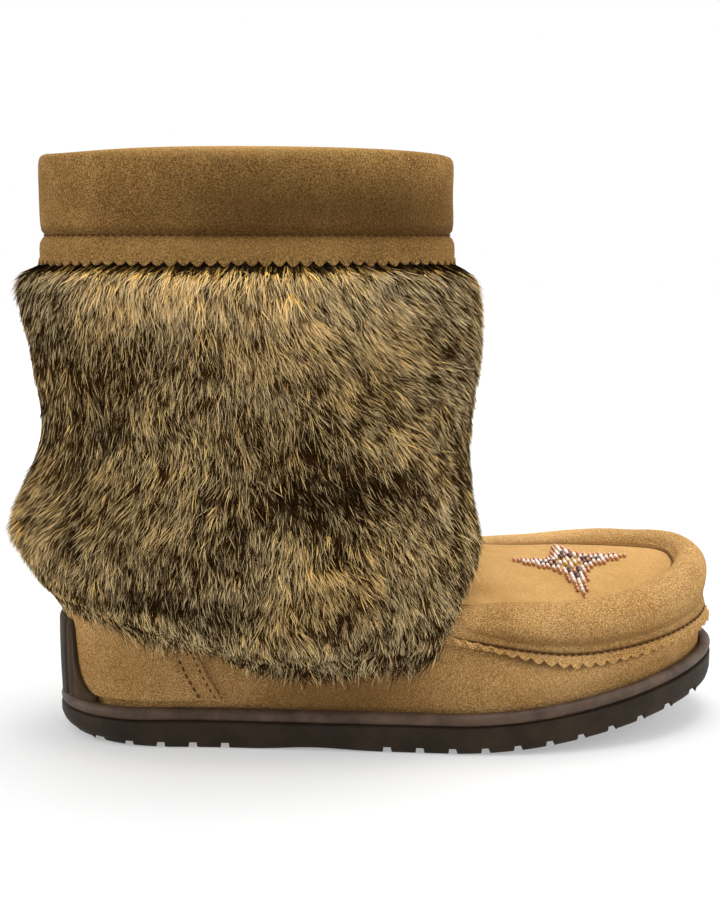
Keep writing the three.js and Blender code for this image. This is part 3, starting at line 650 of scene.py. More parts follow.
def creaseDepth(creases, angle, height):
    degrees = degreesRound(angle)
    total = np.zeros(np.broadcast(angle, height).shape)
    for at, row, wide, tall, depth in creases:
        total -= depth * np.exp(-((degrees - at) / wide) ** 2 - ((height - row) / tall) ** 2)
    return total


def flangeEdge(degrees):  # the level of the flange's toothed edge; it climbs towards the shaft
    return level["flange"] + 0.6 * ramp(abs(degrees), 60, 30)


def addUpper():
    angle = allRound(upper["columns"])
    height = np.concatenate([np.linspace(0, level["crest"], upper["footRows"]),
                             np.linspace(level["crest"], topLevel, upper["shaftRows"])[1:]])[:, None]
    outer = upperAt(angle, height, creaseDepth(upperCreases, angle, height))
    lining = height[::3]
    points, faces = tubeBody(np.concatenate([outer, upperAt(angle, lining, -last["wall"])[::-1]]))
    slots = np.repeat([0] * (len(height) - 1) + [1] * (len(lining) + 1), upper["columns"])
    degrees = degreesRound(angle)
    below = (flangeEdge(degrees) - height) * nearFlange  # millimetres under the flange's root
    # Painted shadow on the wall, in a band just under the flange's toothed edge.
    flangeShadowMask = ramp(below, -1.5, 1.0) * (1 - ramp(below, 3.0, 2.6)) * (abs(degrees) < upper["flangeReach"])
    shade = np.concatenate([upper["shadowUnderFlange"] * flangeShadowMask.ravel(), np.zeros(len(points) - flangeShadowMask.size)])
    return shadeBy(addMesh("foot_and_shaft", points, faces, [wallSuede, fleece], slots), shade)


def addFootbed():
    angle = allRound(160)
    inset = sole["rimWidth"] + last["wall"] + 1.95
    base = sole["tread"] + 0.3
    rings = [soleRing(angle, inset, base), soleRing(angle, inset, base + 3)]
    for share in np.linspace(0.04, 0.96, 16):
        ring = soleRing(angle, inset + 0.6, base + 3.6)
        middle = np.stack([ring[:, 0], centreLine(ring[:, 0]), ring[:, 2]], -1)
        ring = ring + (middle - ring) * share
        cup = np.clip(1 - share * 3, 0, 1) ** 2
        ring[:, 2] += 1.6 * cup - 0.4 + 0.35 * np.sin(ring[:, 0] * 1.3) * np.sin(ring[:, 1] * 1.7)
        rings.append(ring)
    rings = np.stack(rings)
    return addMesh("fleece_footbed", rings.reshape(-1, 3), np.concatenate(cappedFaces(*rings.shape[:2])),
                   [fleece], None, 60)


place(addUpper(), "suede", "upper")
place(addFootbed(), "footbed", "insole")
print("upper and footbed made")


# Stitches

def addStitches(name, points, normals, pitch, length, radius):
    # Points follow the seam closely. Each stitch is a short thread that dives in at both ends.
    walked = np.append(0, np.cumsum(np.linalg.norm(np.diff(points, axis=0), axis=1)))
    count = int(walked[-1] / pitch)
    middles = (np.arange(count) + 0.5) * walked[-1] / count
    sides, steps = 6, 7
    bend = np.linspace(-1, 1, steps)
    at = middles[:, None] + bend[None, :] * length / 2
    centre = np.stack([np.interp(at, walked, points[:, k]) for k in range(3)], -1)
    normal = unit(np.stack([np.interp(at, walked, normals[:, k]) for k in range(3)], -1))
    along = unit(np.gradient(centre, axis=1))
    across = np.cross(along, normal)
    centre = centre + normal * (radius * (0.75 - 2.1 * bend**4))[None, :, None]
    thick = radius * (1 - 0.55 * bend**6)
    turn = allRound(sides)[None, None, :, None]
    circle = np.cos(turn) * normal[:, :, None] + np.sin(turn) * across[:, :, None]
    ring = centre[:, :, None] + thick[None, :, None, None] * circle
    faces = [gridFaces(steps, sides, k * steps * sides, closed=True, flip=True) for k in range(count)]
    return place(addMesh(name, ring.reshape(-1, 3), np.concatenate(faces), [thread], None, 180), "suede")


# Back quarter

quarter = {  # the arc is half the way round the heel; rows of stitches are counted from the front edge
    "lay": 0.5, "thickness": 1.2, "frontEdge": (59, 46), "arc": 175.0, "rows": {"inside": 4.2, "edge": 0.9},
    "pitch": 3.0,
}


def quarterReach(height):
    low, high = quarter["frontEdge"]
    return np.radians(low + (high - low) * (height - level["rim"]) / (level["crest"] - level["rim"]))


def addQuarter():
    height = np.linspace(level["rim"] + 0.12, level["crest"] + 0.6, 60)[:, None]
    share = np.linspace(-1, 1, 161)
    share = np.sign(share) * abs(share) ** 0.8
    angle = math.pi + quarterReach(height) * share[None, :]
    fromEdge = (1 - abs(share[None, :])) * quarterReach(height) / math.pi * quarter["arc"]
    offset = quarter["lay"] + quarter["thickness"] + 0.6 * bell(fromEdge, 0.7, 0.8)
    for row in quarter["rows"].values():
        offset = offset - 0.7 * bell(fromEdge, row, 0.8)
    points, faces, tags = sheetBody(upperAt(angle, height, offset), upperAt(angle, height, 0.05))
    return addMesh("heel_quarter", points, faces, [wallSuede, wallSuede, cutEdge], tags)


def addQuarterStitches():
    height = np.linspace(level["rim"] + 0.16, level["crest"], 120)
    for side, word in ((-1, "outer"), (1, "inner")):
        for name, row in quarter["rows"].items():
            angle = math.pi + side * (quarterReach(height) - row / quarter["arc"] * math.pi)
            points = upperAt(angle, height, quarter["lay"] + quarter["thickness"] - 0.35)
            addStitches(f"quarter_stitches_{word}_{name}", points, upperNormal(angle, height),
                        quarter["pitch"], 2.1, 0.34)


place(addQuarter(), "suede", "back_quarter")
addQuarterStitches()
print("back quarter made")


# Vamp: padded roll, flange and plug

vamp = {  # the seam is in levels above the flange's root, the reach in degrees from the toe
    "reach": 97, "bulge": 7.2, "lay": 0.7, "thickness": 1.5, "tooth": 2.3, "toothPitch": 5.3, "seam": 0.24,
    "stitchPitch": 3.1, "flare": 1.2, "plugLay": 0.9, "plugThickness": 1.5,
}
rollProfile = [  # level, share of the bulge
    [3, 0.3], [3.24, 0.24], [3.44, 0.26], [3.85, 0.66], [4.3, 0.92], [4.85, 1.02], [5.2, 0.97], [5.5, 0.82],
    [5.78, 0.56], [5.88, 0.44],
]
rollCreases = [  # soft puckers in the padded roll
    (-86, 4.7, 3, 0.6, 0.8), (-66, 4.9, 4, 0.6, 0.4), (-48, 4.8, 5, 0.5, 0.35), (-20, 4.9, 5, 0.6, 0.4),
    (4, 5, 6, 0.6, 0.35), (30, 4.9, 5, 0.6, 0.4), (58, 4.8, 4, 0.6, 0.4), (84, 4.7, 3, 0.6, 0.7),
]


def teethRow(count, perTooth, depths, curls):  # teeth: how far into the tooth, its jitter, its own curl
    phase = np.arange(count * perTooth) % perTooth / perTooth
    point = 1 - abs(2 * phase - 1)
    jitter = np.repeat(rng.uniform(*depths, count), perTooth)
    curl = np.repeat(rng.uniform(0, curls, count), perTooth) * point
    return np.sin(point * math.pi / 2) * jitter, curl


def addRoll():
    flat, seam = vamp["lay"] + vamp["thickness"], level["flange"] + vamp["seam"]
    _, walk = evenAngles(-vamp["reach"], vamp["reach"], level["flange"], 2)
    perTooth, teeth = 8, int(walk / vamp["toothPitch"])
    columns = teeth * perTooth + 1
    angle, _ = evenAngles(-vamp["reach"], vamp["reach"], level["flange"], columns)
    degrees = np.degrees(angle)
    height = np.concatenate([np.linspace(level["flange"], 3.6, 11), np.linspace(3.6, 5.88, 28)[1:]])[:, None]
    share = curveThrough(rollProfile, height)
    fade = 1 - 0.72 * ramp(abs(degrees), 70, 12)
    toe = 1 - 0.42 * bell(degrees, 0, 26) * (1 - ramp(height, 4.0, 1.2))
    lift = flat + np.maximum(share * vamp["bulge"] * fade * toe - flat, 0)
    lift = lift + creaseDepth(rollCreases, angle, height) * share - 0.8 * bell(height, seam, 0.06)
    tooth, curl = (row[:columns] for row in teethRow(teeth + 1, perTooth, (0.8, 1.12), 0.7))
    below = (1 + vamp["tooth"] * tooth) / nearFlange
    hem = [(flangeEdge(degrees) - below * part, flat + (vamp["flare"] + curl) * part**1.5)
           for part in (1.0, 0.66, 0.33)]
    outer = np.concatenate([np.stack([upperAt(angle, *row) for row in hem]), upperAt(angle, height, lift)])
    inner = np.concatenate([np.stack([upperAt(angle, at, lifted - 1.2) for at, lifted in hem]),
                            upperAt(angle, height, vamp["lay"] - 0.2)])
    points, faces, tags = sheetBody(outer, inner)
    shade = np.zeros(len(points))
    # Painted shade: darker in the seam's crease and on the roll's underside just above it.
    seamShade = 0.55 * bell(height, seam + 0.03, 0.07) + 0.3 * (1 - ramp(height, 3.4, 0.7)) * (height > seam)
    shade[3 * columns:outer[..., 0].size] = np.repeat(seamShade, columns)
    piece = addMesh("vamp_roll_and_flange", points, faces, [wallSuede, wallSuede, cutEdge], tags)
    return shadeBy(piece, shade)


def addRollStitches():
    seam = level["flange"] + vamp["seam"]
    angle, _ = evenAngles(-vamp["reach"] + 1, vamp["reach"] - 1, seam, 900)
    points = upperAt(angle, seam, vamp["lay"] + vamp["thickness"] - 0.55)
    addStitches("flange_stitches", points, upperNormal(angle, seam), vamp["stitchPitch"], 2.1, 0.32)


def plugGrid(rows, columns):
    height = np.linspace(level["plugEdge"], level["instep"] + 0.5, rows)[:, None]
    reaches = [[0, 76], [1, 69], [2, 58], [3, 42], [3.5, 34]]  # levels above its edge, degrees from the toe
    reach = np.radians(curveThrough(reaches, height - level["plugEdge"]))
    share = np.linspace(-1, 1, columns)[None, :]
    return reach * share, height


def addPlug():
    angle, height = plugGrid(50, 120)
    swell = 0.5 * ramp(height, level["plugEdge"], 0.35) - 0.25
    offset = vamp["plugLay"] + vamp["plugThickness"] + swell
    points, faces, _ = sheetBody(upperAt(angle, height, offset), upperAt(angle, height, vamp["plugLay"]))
    return addMesh("vamp_top", points, faces, [plugSuede])


place(addRoll(), "suede", "vamp_roll")
addRollStitches()
place(addPlug(), "suede", "vamp_plug")
print("vamp made")


# Collar

collar = {
    "height": 43.0, "hem": 10.5, "gap": 0.3, "hemStand": 1.7, "thickness": 1.9, "puff": 2.7, "tooth": 2.4,
    "root": 1.2, "teeth": 84, "stitchPitch": 3.3,
}
collarDrop = last["bootHeight"] - collar["height"]
collarStitch = collarDrop + collar["hem"]
collarCreases = [  # soft hollows: degrees round, height, half-widths, depth
    (-95, 222, 26, 9, 0.9), (-60, 214, 16, 6, 0.7), (-140, 216, 14, 8, 0.7), (95, 220, 26, 9, 0.8),
    (50, 214, 16, 6, 0.6), (150, 216, 14, 8, 0.6), (0, 221, 14, 8, 0.5), (180, 224, 12, 8, 0.6),
]


def collarWave(angle, height):  # the top edge isn't quite level
    degrees = degreesRound(angle)
    dips = -1.1 * bell(degrees, 0, 42) - 1.2 * bell(degrees, -150, 28)
    return ramp(height, collarStitch, last["bootHeight"] - collarStitch) * dips


def addCollar():
    perTooth = 6
    columns = collar["teeth"] * perTooth
    angle = evenAngles(0, 360, level["top"], columns + 1)[0][:-1]
    boot, stitch, drop = last["bootHeight"], collarStitch, collarDrop
    topEdge = last["ankleHeight"] + shaftRows["top"][3] * (boot - last["ankleHeight"])
    gap, hem, thick, puff = collar["gap"], collar["hemStand"], collar["thickness"], collar["puff"]
    soft = [  # height and offset from the shaft, up the outside
        (drop + 2, hem + thick), (stitch - 5.5, hem + thick), (stitch - 3, hem + thick - 0.3),
        (stitch - 1.2, hem + 0.6), (stitch - 0.5, gap + 1.2), (stitch, gap + 0.8), (stitch + 0.6, gap + 1.2),
        (stitch + 2, gap + 2.2), (stitch + 4.5, gap + 2.55), (stitch + 8, gap + puff),
        (stitch + 14, gap + puff), (stitch + 20, gap + puff), (boot - 8, gap + puff),
        (boot - 4, gap + 0.94 * puff),
    ]
    over = [(boot - 1.8, gap + 0.78 * puff), (boot - 0.6, gap + 0.45 * puff), (boot, -0.15),
            (boot - 0.1, -1.2), (boot - 0.8, -1.9)]
    inside = [(topEdge + gap, -2.2), (topEdge + gap, gap), (stitch, gap), (stitch - 4, hem), (drop + 2, hem)]
    rings = []
    for height, offset in soft + over + inside:
        if len(rings) < len(soft):
            offset = offset + creaseDepth(collarCreases, angle, height)
        ring = shaftAt(angle, np.full(columns, height), offset)
        if len(rings) < len(soft + over):
            ring[:, 2] += collarWave(angle, height)
        rings.append(ring)
    tooth, curl = teethRow(collar["teeth"], perTooth, (0.8, 1.1), 0.8)
    down = collar["tooth"] * tooth - collar["root"] + 1.6

    def hemRow(part, offset):
        return shaftAt(angle, drop + 1.6 - down * part, offset + (0.5 + curl) * part)

    hems = [hemRow(part, hem + thick) for part in (1.0, 0.5)]
    under = [hemRow(part, hem + 0.4) for part in (0.5, 1.0)]
    points, faces = tubeBody(np.stack([*hems, *rings, *under]))
    slots = np.zeros(len(faces))
    slots[-columns:] = 1
    return addMesh("rolled_collar", points, faces, [collarSuede, cutEdge], slots)


def addCollarStitches():
    angle = evenAngles(0, 360, level["top"], 1200)[0]
    points = shaftAt(angle, np.full(1200, collarStitch), 1.2)
    addStitches("collar_stitches", points, upperNormal(angle, topLevel - 0.3), collar["stitchPitch"],
                2.3, 0.36)


place(addCollar(), "suede", "collar")
addCollarStitches()
print("collar made")


# Beaded star

star = {"middle": 217.3, "pitch": 2.04, "bead": 1.04, "turn": 4.0}


def beadPaint(name, colour, metallic, roughness, coat):
    paint = Paint(name)
    paint.set({"Base Color": paint.blend(paint.noise(3.0), colour, darker(colour, 0.82)),
               "Metallic": metallic, "Roughness": paint.noise(2.0) * 0.1 + roughness, "Coat Weight": coat})
    return paint.material


beadMaterials = [beadPaint("copper_bead", tone(208, 150, 116), 0.7, 0.25, 0.4),
                 beadPaint("pearl_bead", tone(250, 236, 224), 0.0, 0.2, 0.6),
                 beadPaint("plum_bead", tone(92, 52, 60), 0.1, 0.18, 0.6),
                 beadPaint("gold_bead", tone(214, 172, 92), 0.6, 0.25, 0.3)]


def ballMesh(segments, rows, radius):
    polar = np.linspace(0, math.pi, rows + 1)[:, None]
    turn = allRound(segments)
    points = np.stack([np.sin(polar) * np.cos(turn), np.sin(polar) * np.sin(turn),
                       np.cos(polar) + 0 * turn], -1)
    return points.reshape(-1, 3) * radius, gridFaces(rows + 1, segments, closed=True, flip=True)


def vampHeight(x, y):  # the plug's outer surface found under points in plan
    angle, height = plugGrid(60, 90)
    surface = upperAt(angle, height, vamp["plugLay"] + vamp["plugThickness"] + 0.25).reshape(-1, 3)
    normal = upperNormal(angle, height).reshape(-1, 3)
    found, facing = [], []
    for px, py in zip(x, y):
        away = (surface[:, 0] - px) ** 2 + (surface[:, 1] - py) ** 2
        near = np.argsort(away)[:6]
        weight = 1 / (away[near] + 0.05)
        found.append((surface[near, 2] * weight).sum() / weight.sum())
        facing.append((normal[near] * weight[:, None]).sum(0))
    return np.array(found), unit(np.array(facing))


# Beads from the middle of the star to its tip: each word runs from the arm's middle line outwards.
# w white, p plum, c copper, g gold, and a gap where the suede shows.
starChart = ["g", "wg", "w", "-pwc", "cpwc", "pwc", "pwc", "wwc", "wc", "wc", "wc", "c", "c"]
beadKinds = "cwpg"


def addStar():
    turn = math.radians(star["turn"])
    reach = len(starChart) - 1
    spots = []
    for i in range(-reach, reach + 1):
        for j in range(-reach, reach + 1):
            word, aside = starChart[max(abs(i), abs(j))], min(abs(i), abs(j))
            if aside < len(word) and word[aside] != "-":
                spots.append((i, j, beadKinds.index(word[aside])))
    spots = np.array(spots)
    i, j = spots[:, 0] * star["pitch"], spots[:, 1] * star["pitch"]
    i, j = i + rng.normal(0, 0.07, len(i)), j + rng.normal(0, 0.07, len(j))
    x = star["middle"] + i * math.cos(turn) - j * math.sin(turn)
    y = centreLine(star["middle"]) + i * math.sin(turn) + j * math.cos(turn)
    z, normal = vampHeight(x, y)
    balls, faces, slots = [], [], []
    shape, quads = ballMesh(10, 8, star["bead"])
    strung = np.array([math.cos(turn), math.sin(turn), 0])  # beads are narrower along their thread
    squash = 1 - 0.18 * abs(shape @ strung) / star["bead"]
    for k in range(len(spots)):
        middle = np.array([x[k], y[k], z[k]]) + normal[k] * star["bead"] * 0.8
        balls.append(shape * squash[:, None] * rng.uniform(0.93, 1.03) + middle)
        faces.append(quads + k * len(shape))
        slots.append(np.full(len(quads), spots[k, 2]))
    return addMesh("star_beads", np.concatenate(balls), np.concatenate(faces), beadMaterials,
                   np.concatenate(slots), 180)


place(addStar(), "beads", "beaded_star")
print("star made")


# Fur

fur = {
    "depth": 14.0, "top": 190.4, "stand": 0.94, "ribbons": 100000, "spikes": 330000, "perClump": 5,
    "length": (9.0, 15.0), "width": 0.5, "darkShare": 0.76, "guardShare": 0.03, "wispShare": 0.1,
    "cells": (360, 120),
}
furRows = [  # back, front, side | heights at back, heel, side, corner, front | square
    (0.22, 0.62, 0.3, 0.31, 0.265, 0.205, 0.223, 0.344, 4.6),
    (0.72, 0.95, 0.72, 0.344, 0.3, 0.255, 0.275, 0.413, 4),
    (1.33, 0.82, 0.9, 0.469, 0.456, 0.438, 0.463, 0.513, 3),
    (0.4, 0.74, 0.62, 0.644, 0.638, 0.638, 0.638, 0.638, 2.4),
    (0.58, 1.05, 0.95, 0.813, 0.813, 0.813, 0.813, 0.813, 2.2),
    (0.97, 0.95, 0.96, 0.972, 0.972, 0.972, 0.972, 0.972, 2.1),
    (0.2, 0.2, 0.2, 1.018, 1.018, 1.018, 1.018, 1.018, 2),
]

furLevels = len(furRows) - 1


def furRing(row, depth):
    back, front, side, *heights, square = row
    return {"back": last["shaftBack"] - back * depth,
            "front": last["shaftBack"] + last["shaftLength"] + front * depth,
            "breadths": [[0.5, last["shaftBreadth"] / 2 + side * depth]],
            "heights": [[at, z * fur["top"]] for at, z in zip((0, 0.28, 0.55, 0.9, 1), heights)],
            "round": (0.5, 0.5), "square": square, "swing": 0, "tilt": 0}


def addUndercoat():
    columns = 200
    angle = allRound(columns)
    rings = [furRing(row, 0.5 * fur["depth"]) for row in furRows]
    pile = throughRings(rings, angle, np.linspace(0, furLevels, 60)[:, None])
    coat = addMesh("undercoat", pile.reshape(-1, 3), np.concatenate(cappedFaces(60, columns)), [undercoat],
                   None, 180)
    over = [[0, 0.4], [1, 3.8], [2, 5.9], [4, 6.4], [8, 7]]
    levels = np.linspace(0, topLevel, 30)[:, None]
    share = np.where(np.cos(angle) < math.cos(math.radians(108)), 0.42, 1.0)
    clear = 0.2 + share * curveThrough(over, level["ankle"] - levels) * 0.7
    hollow = upperAt(angle, levels, clear)
    cutter = addMesh("fur_hollow", hollow.reshape(-1, 3), np.concatenate(cappedFaces(30, columns)),
                     [undercoat], None, 180)
    trim = coat.modifiers.new("hollow", "BOOLEAN")
    trim.operation, trim.solver, trim.object = "DIFFERENCE", "MANIFOLD", cutter
    bpy.context.view_layer.update()
    evaluated = coat.evaluated_get(bpy.context.evaluated_depsgraph_get())
    made = bpy.data.meshes.new_from_object(evaluated)
    coat.modifiers.clear()
    coat.data = made
    made.shade_smooth()
    bpy.data.objects.remove(cutter)
    return coat


hairPaint = Paint("agouti_hair")
hairPaint.set({"Base Color": hairPaint.attribute("coat", "Color"), "Roughness": 0.8,
               "Specular IOR Level": 0.0})

# Where the coat lies which way, how dark it is and how far it stands, read from the photograph's side.
# x and z in millimetres, half-widths, then degrees forward of straight down
combSpots = [
    (0, 185, 30, 20, 8), (30, 170, 30, 30, -6), (85, 180, 25, 15, 0), (60, 150, 25, 25, -14),
    (110, 160, 25, 18, 26), (140, 185, 25, 12, 25), (150, 160, 22, 16, 52), (165, 145, 22, 20, 60),
    (140, 130, 25, 18, 50), (110, 120, 26, 26, 30), (160, 110, 24, 22, 42), (60, 110, 35, 30, 4),
    (15, 100, 22, 24, -12), (-5, 80, 20, 16, -26), (40, 70, 30, 18, -4), (90, 70, 24, 24, -14),
    (130, 75, 24, 26, 22), (160, 75, 20, 24, -6), (110, 48, 26, 12, 4), (140, 50, 20, 12, -24),
]
# Tone spots: the coat's own patches, and partly painted light at the top and painted shade in the partings that
# loftSpots lower.
# x and z, half-widths, then how much lighter (positive) or darker (negative)
toneAndShadeSpots = [
    (80, 184, 56, 14, 1.35), (82, 160, 14, 16, 0.4), (135, 180, 22, 10, 0.5), (158, 170, 14, 16, -0.35),
    (-8, 170, 18, 26, -0.45), (48, 158, 18, 6, -0.6), (14, 130, 20, 26, -0.4), (60, 135, 14, 20, 0.15),
    (114, 107, 20, 9, -1.25), (95, 118, 16, 8, -0.35), (140, 140, 20, 18, 0.05), (168, 118, 9, 26, -0.6),
    (98, 68, 11, 18, 0.6), (135, 72, 15, 16, 0.4), (120, 84, 8, 10, -0.3), (50, 100, 18, 16, 0.1),
    (32, 112, 10, 10, 0.3), (48, 62, 34, 3.5, -0.75), (5, 80, 14, 16, 0.25), (40, 50, 40, 5, 0.2),
    (110, 44, 24, 6, 0.2), (178, 70, 6, 14, -0.5), (150, 92, 14, 10, 0.1), (70, 85, 14, 14, -0.25),
]
# x and z, half-widths, then how much further the pile stands, in shares of its depth
loftSpots = [
    (48, 66, 36, 4, -0.3), (112, 106, 22, 9, -0.3), (95, 120, 20, 8, -0.2), (48, 157, 16, 5, -0.2),
    (98, 68, 10, 16, 0.1),
]


def spotField(spots, x, z):
    total, weight = np.zeros(np.shape(x)), np.full(np.shape(x), 0.3)
    for atX, atZ, wide, tall, value in spots:
        near = np.exp(-((x - atX) / wide) ** 2 - ((z - atZ) / tall) ** 2)
        total, weight = total + near * value, weight + near
    return total / weight


def smoothNoise(u, v, cellU, cellV, seed):  # value noise that closes on itself round the sleeve
    field = np.random.default_rng(seed).standard_normal((cellV + 3, cellU))
    x, y = (u / (2 * math.pi) % 1) * cellU, np.clip(v, 0, furLevels) / furLevels * cellV
    i, j = np.floor(x).astype(int), np.floor(y).astype(int)
    s, t = x - i, y - j
    s, t = s * s * (3 - 2 * s), t * t * (3 - 2 * t)
    a, b = field[j, i % cellU], field[j, (i + 1) % cellU]
    c, d = field[j + 1, i % cellU], field[j + 1, (i + 1) % cellU]
    return (a * (1 - s) + b * s) * (1 - t) + (c * (1 - s) + d * s) * t


def furGridOf(depthShare):
    columns, rows = fur["cells"]
    u = (np.arange(columns + 1) - columns / 2) / (columns / 2) * math.pi
    v = np.linspace(0, furLevels, rows + 1)[:, None]
    rings = [furRing(row, depthShare * fur["depth"]) for row in furRows]
    return throughRings(rings, u, v)


def sampleGrid(grid, u, v):
    columns, rows = fur["cells"]
    x, y = (u / (2 * math.pi) + 0.5) % 1 * columns, np.clip(v, 0, furLevels - 0.001) / furLevels * rows
    i, j = np.minimum(x.astype(int), columns - 1), np.minimum(y.astype(int), rows - 1)
    s, t = (x - i)[:, None], (y - j)[:, None]
    return ((grid[j, i] * (1 - s) + grid[j, i + 1] * s) * (1 - t)
            + (grid[j + 1, i] * (1 - s) + grid[j + 1, i + 1] * s) * t)


def combAt(u, v, grid):  # which way the coat lies, in degrees forward of straight down
    spot = sampleGrid(grid, u, v)
    return spotField(combSpots, spot[:, 0], spot[:, 2]) + 11 * smoothNoise(u, v, 40, 20, 3)


def addStrands(name, corners, colours, loops, starts):  # many small faces, with one colour for each corner
    count, size = corners.shape[:2]
    mesh = bpy.data.meshes.new(name)
    mesh.vertices.add(size * count)
    shifted = (corners.reshape(-1, 3) - (last["heelMiddle"], 0, 0)) * 0.001
    mesh.vertices.foreach_set("co", shifted.ravel().astype(np.float32))
    each = np.arange(count)[:, None]
    mesh.loops.add(len(loops) * count)
    mesh.loops.foreach_set("vertex_index", (np.array(loops)[None] + size * each).ravel().astype(np.int32))
    mesh.polygons.add(len(starts) * count)
    loopStarts = np.array(starts)[None] + len(loops) * each
    mesh.polygons.foreach_set("loop_start", loopStarts.ravel().astype(np.int32))
    mesh.update(calc_edges=True)
    mesh.shade_smooth()
    coat = mesh.color_attributes.new("coat", "FLOAT_COLOR", "POINT")
    # No hair is whiter than its own hue.
    colours = colours * np.minimum(0.95 / colours.max(axis=-1, keepdims=True), 1)
    rgba = np.concatenate([colours.reshape(-1, 3), np.ones((size * count, 1))], 1)
    coat.data.foreach_set("color", rgba.ravel().astype(np.float32))
    mesh.materials.append(hairPaint.material)
    piece = bpy.data.objects.new(name, mesh)
    bpy.context.scene.collection.objects.link(piece)
    return place(piece, "fur")


def seedHairs(areas, perU, perV):  # roots in clumps, spread evenly over the sleeve
    columns, rows = fur["cells"]
    chance = areas.ravel() / areas.sum()
    clumps = (fur["ribbons"] + fur["spikes"]) // fur["perClump"]
    cells = rng.choice(len(chance), clumps, p=chance)
    clumpV = (cells // columns + rng.random(clumps)) / rows * furLevels
    clumpU = ((cells % columns + rng.random(clumps)) / columns - 0.5) * 2 * math.pi
    ways = rng.standard_normal((3, clumps))  # each clump's own tone, swing and loft
    which = np.repeat(np.arange(clumps), fur["perClump"])
    count = len(which)
    u = clumpU[which] + rng.normal(0, 0.5, count) / np.maximum(sampleGrid(perU, clumpU, clumpV)[which, 0], 20)
    v = clumpV[which] + rng.normal(0, 1.0, count) / np.maximum(sampleGrid(perV, clumpU, clumpV)[which, 0], 5)
    return u, np.clip(v, 0, furLevels - 0.03), which, clumps, ways


def hairColours(u, v, crown, lightness, clumpTone, dark):  # of each hair's root, middle and tip
    count = len(u)
    lightness = np.exp(lightness - 0.32 + 0.8 * clumpTone + rng.normal(0, 0.4, count))[:, None]
    pale = bell(crown[:, 2], 44, 24) + bell(crown[:, 2], 192, 16)
    warm = 0.62 - 0.4 * pale + 0.22 * smoothNoise(u, v, 22, 12, 13) + rng.normal(0, 0.25, count)
    warm = np.clip(warm, 0, 1)[:, None]
    # Roots, and less so the middles, are dark: the hair's own dark band, and partly painted shade deep in the
    # pile.
    base, shadow = np.array(tone(30, 18, 8)[:3]), np.array(tone(66, 44, 20)[:3])
    golden, khaki, cream = (np.array(tone(*c)[:3]) for c in ((214, 170, 86), (160, 130, 72), (252, 228, 178)))
    dark = dark[:, None]
    middle = np.where(dark, base, 0.35 * (golden * warm + khaki * (1 - warm)) * lightness)
    paleTip = 1.7 * (cream * (1 - 0.55 * warm) + golden * 0.55 * warm) * lightness
    return base, middle, np.where(dark, shadow * lightness**0.6 * 0.9, paleTip)


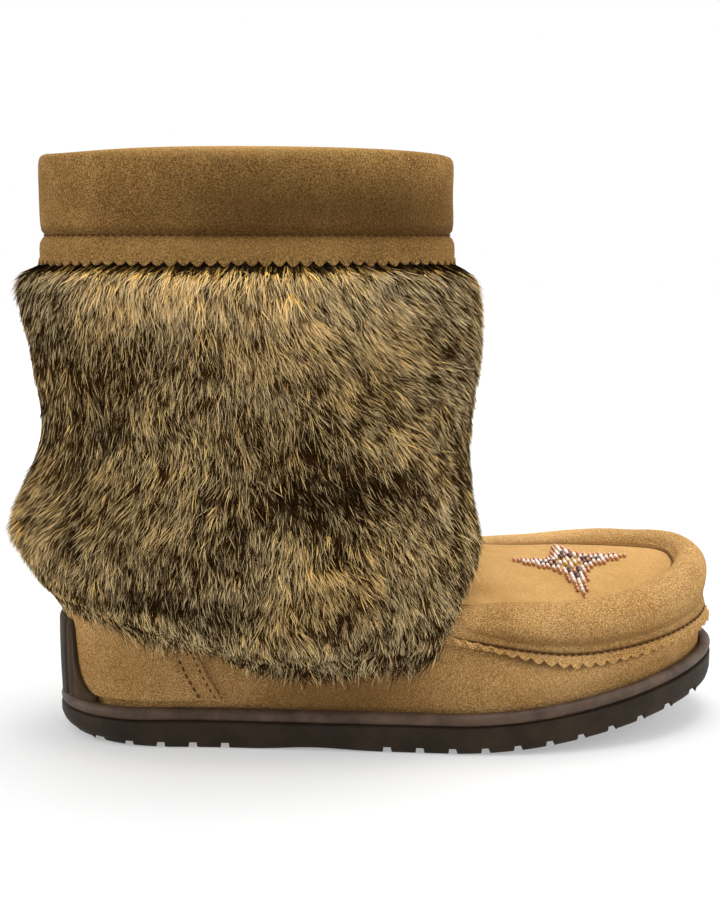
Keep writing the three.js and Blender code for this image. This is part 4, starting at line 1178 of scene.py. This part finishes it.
def addFur():
    columns, rows = fur["cells"]
    outer, inner = furGridOf(fur["stand"]), furGridOf(0.5)
    around, upwards = np.gradient(outer, axis=1), np.gradient(outer, axis=0)
    normals = unit(np.cross(around, upwards))
    areas = np.linalg.norm(np.cross(around, upwards), axis=-1)[:-1, :-1]
    perU = np.linalg.norm(around, axis=-1, keepdims=True) * columns / (2 * math.pi)  # millimetres per radian
    perV = np.linalg.norm(upwards, axis=-1, keepdims=True) * (rows / furLevels)  # and per level
    u, v, which, clumps, (clumpTone, clumpSwing, clumpLoft) = seedHairs(areas, perU, perV)
    count, rootU, rootV = len(u), u, v
    crown = sampleGrid(outer, u, v)
    normal = unit(sampleGrid(normals, u, v))
    sideways = unit(np.cross(np.array([0, 0, 1.0]), normal))  # round the sleeve, angle growing
    down = np.cross(sideways, normal)
    down = down * np.where(down[:, 2:] > 0, -1, 1)
    toToe = np.where(np.sin(u) < 0, 1.0, -1.0)
    flat = np.clip(abs(np.sin(u)) * 1.6, 0, 1)
    swing = 9 * clumpSwing[which] + rng.normal(0, 9, count)
    lock = smoothNoise(u, v, 58, 28, 9)
    guard = rng.random(count) < fur["guardShare"]
    wisp = (v < 0.9) & (rng.random(count) < fur["wispShare"])
    length = rng.uniform(*fur["length"], count) * (1 + 0.12 * smoothNoise(u, v, 24, 14, 5))
    length = length * np.where(v < 0.5, 0.8, 1.0) * np.where(wisp, 1.6, 1.0)
    length = length * (1 - 0.75 * bell(crown[:, 0], 68, 19) * np.clip(1.3 - v, 0, 1) * (np.sin(u) < 0))
    # Tone spots, weaker on the inner side; partly painted light and shade.
    seen = spotField(toneAndShadeSpots, crown[:, 0], crown[:, 2] - 9) * np.where(np.sin(u) < 0, 1.0, 0.6)
    # Dark clumps: the coat's dark hairs, and partly painted shade between its pale tufts; more of them where it
    # is darker.
    darkClump = rng.random(clumps) < fur["darkShare"] - 0.33 * np.clip(seen[::fur["perClump"]], -0.6, 1)
    dark = darkClump[which] ^ (rng.random(count) < 0.06)
    loft = (1.0 + np.where(dark, -0.03, 0.05) + 0.13 * lock + 0.11 * clumpLoft[which]
            + rng.normal(0, 0.07, count) + 0.3 * guard
            + spotField(loftSpots, crown[:, 0], crown[:, 2]) * (np.sin(u) < 0))
    steps = 4  # each strand is walked down the coat, so that its steps keep their length
    spots = [(u, v)]
    for _ in range(steps):
        turn = np.radians((combAt(u, v, outer) + swing) * flat)
        u = u + toToe * np.sin(turn) * length / steps / np.maximum(sampleGrid(perU, u, v)[:, 0], 20)
        v = v - np.cos(turn) * length / steps / np.maximum(sampleGrid(perV, u, v)[:, 0], 5)
        spots.append((u, v))
    lie = unit(down * np.cos(turn)[:, None] + sideways * (toToe * np.sin(turn))[:, None] + [0, 0, -0.5])
    path = []
    for (atU, atV), rise in zip(spots[::2], (0.0, 0.64, 1.04)):
        low, high = sampleGrid(inner, atU, atV), sampleGrid(outer, atU, atV)
        beyond = np.maximum(-atV, 0) * sampleGrid(perV, atU, atV)[:, 0]
        path.append(low + (high - low) * (rise * loft)[:, None] + beyond[:, None] * lie)
    path = np.stack(path, 1)
    tips = path[:, -1]
    clumpTip = np.stack([np.bincount(which, tips[:, k], clumps) for k in range(3)], -1) / fur["perClump"]
    path = path + 0.5 * np.array([0, 0.3, 1.0])[None, :, None] * (clumpTip[which] - tips)[:, None]
    path[:, 1:] += rng.normal(0, 1, (count, 2, 3)) * np.array([0.15, 0.4])[None, :, None]
    across = unit(np.cross(unit(np.gradient(path, axis=1)), normal[:, None]))
    roll = rng.normal(0, 0.6, count)[:, None, None]
    across = across * np.cos(roll) + normal[:, None] * np.sin(roll)
    half = fur["width"] / 2 * rng.uniform(0.6, 1.3, count)[:, None, None]
    left, right = path - across * half, path + across * half
    # Painted light and shade: tufts that stand further out are lighter, lower ones darker, on top of the tone
    # spots.
    lightness = seen + 0.2 * smoothNoise(rootU, rootV, 26, 14, 11) + 0.3 * lock + 0.25 * clumpLoft[which]
    base, middle, tip = hairColours(rootU, rootV, crown, lightness, clumpTone[which], dark)
    order = rng.permutation(count)
    for k in range(2):  # long strands from the root, each a quad and a triangle
        chosen = order[k:fur["ribbons"]:2]
        corners = np.stack([left[chosen, 0], left[chosen, 1], right[chosen, 0], right[chosen, 1],
                            tips[chosen]], 1)
        root = np.broadcast_to(base, (len(chosen), 3))
        shades = np.stack([root, middle[chosen], root, middle[chosen], tip[chosen]], 1)
        addStrands(f"fur_strands_{k + 1}", corners, shades, (0, 2, 3, 1, 1, 3, 4), (0, 4))
    for k in range(3):  # the fine ends of the rest, each one triangle
        chosen = order[fur["ribbons"] + k::3]
        corners = np.stack([left[chosen, 1], right[chosen, 1], tips[chosen]], 1)
        shades = np.stack([middle[chosen] * 1.3, middle[chosen] * 1.3, tip[chosen] * 1.15], 1)
        addStrands(f"fur_ends_{k + 1}", corners, shades, (0, 1, 2), (0,))


place(addUndercoat(), "fur", "fur_sleeve")
addFur()
print("fur made")

counts = {o.name: sum(len(p.vertices) - 2 for p in o.data.polygons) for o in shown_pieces() if o.type == "MESH"}
print("triangles", sum(counts.values()), max(counts.items(), key=lambda c: c[1]))
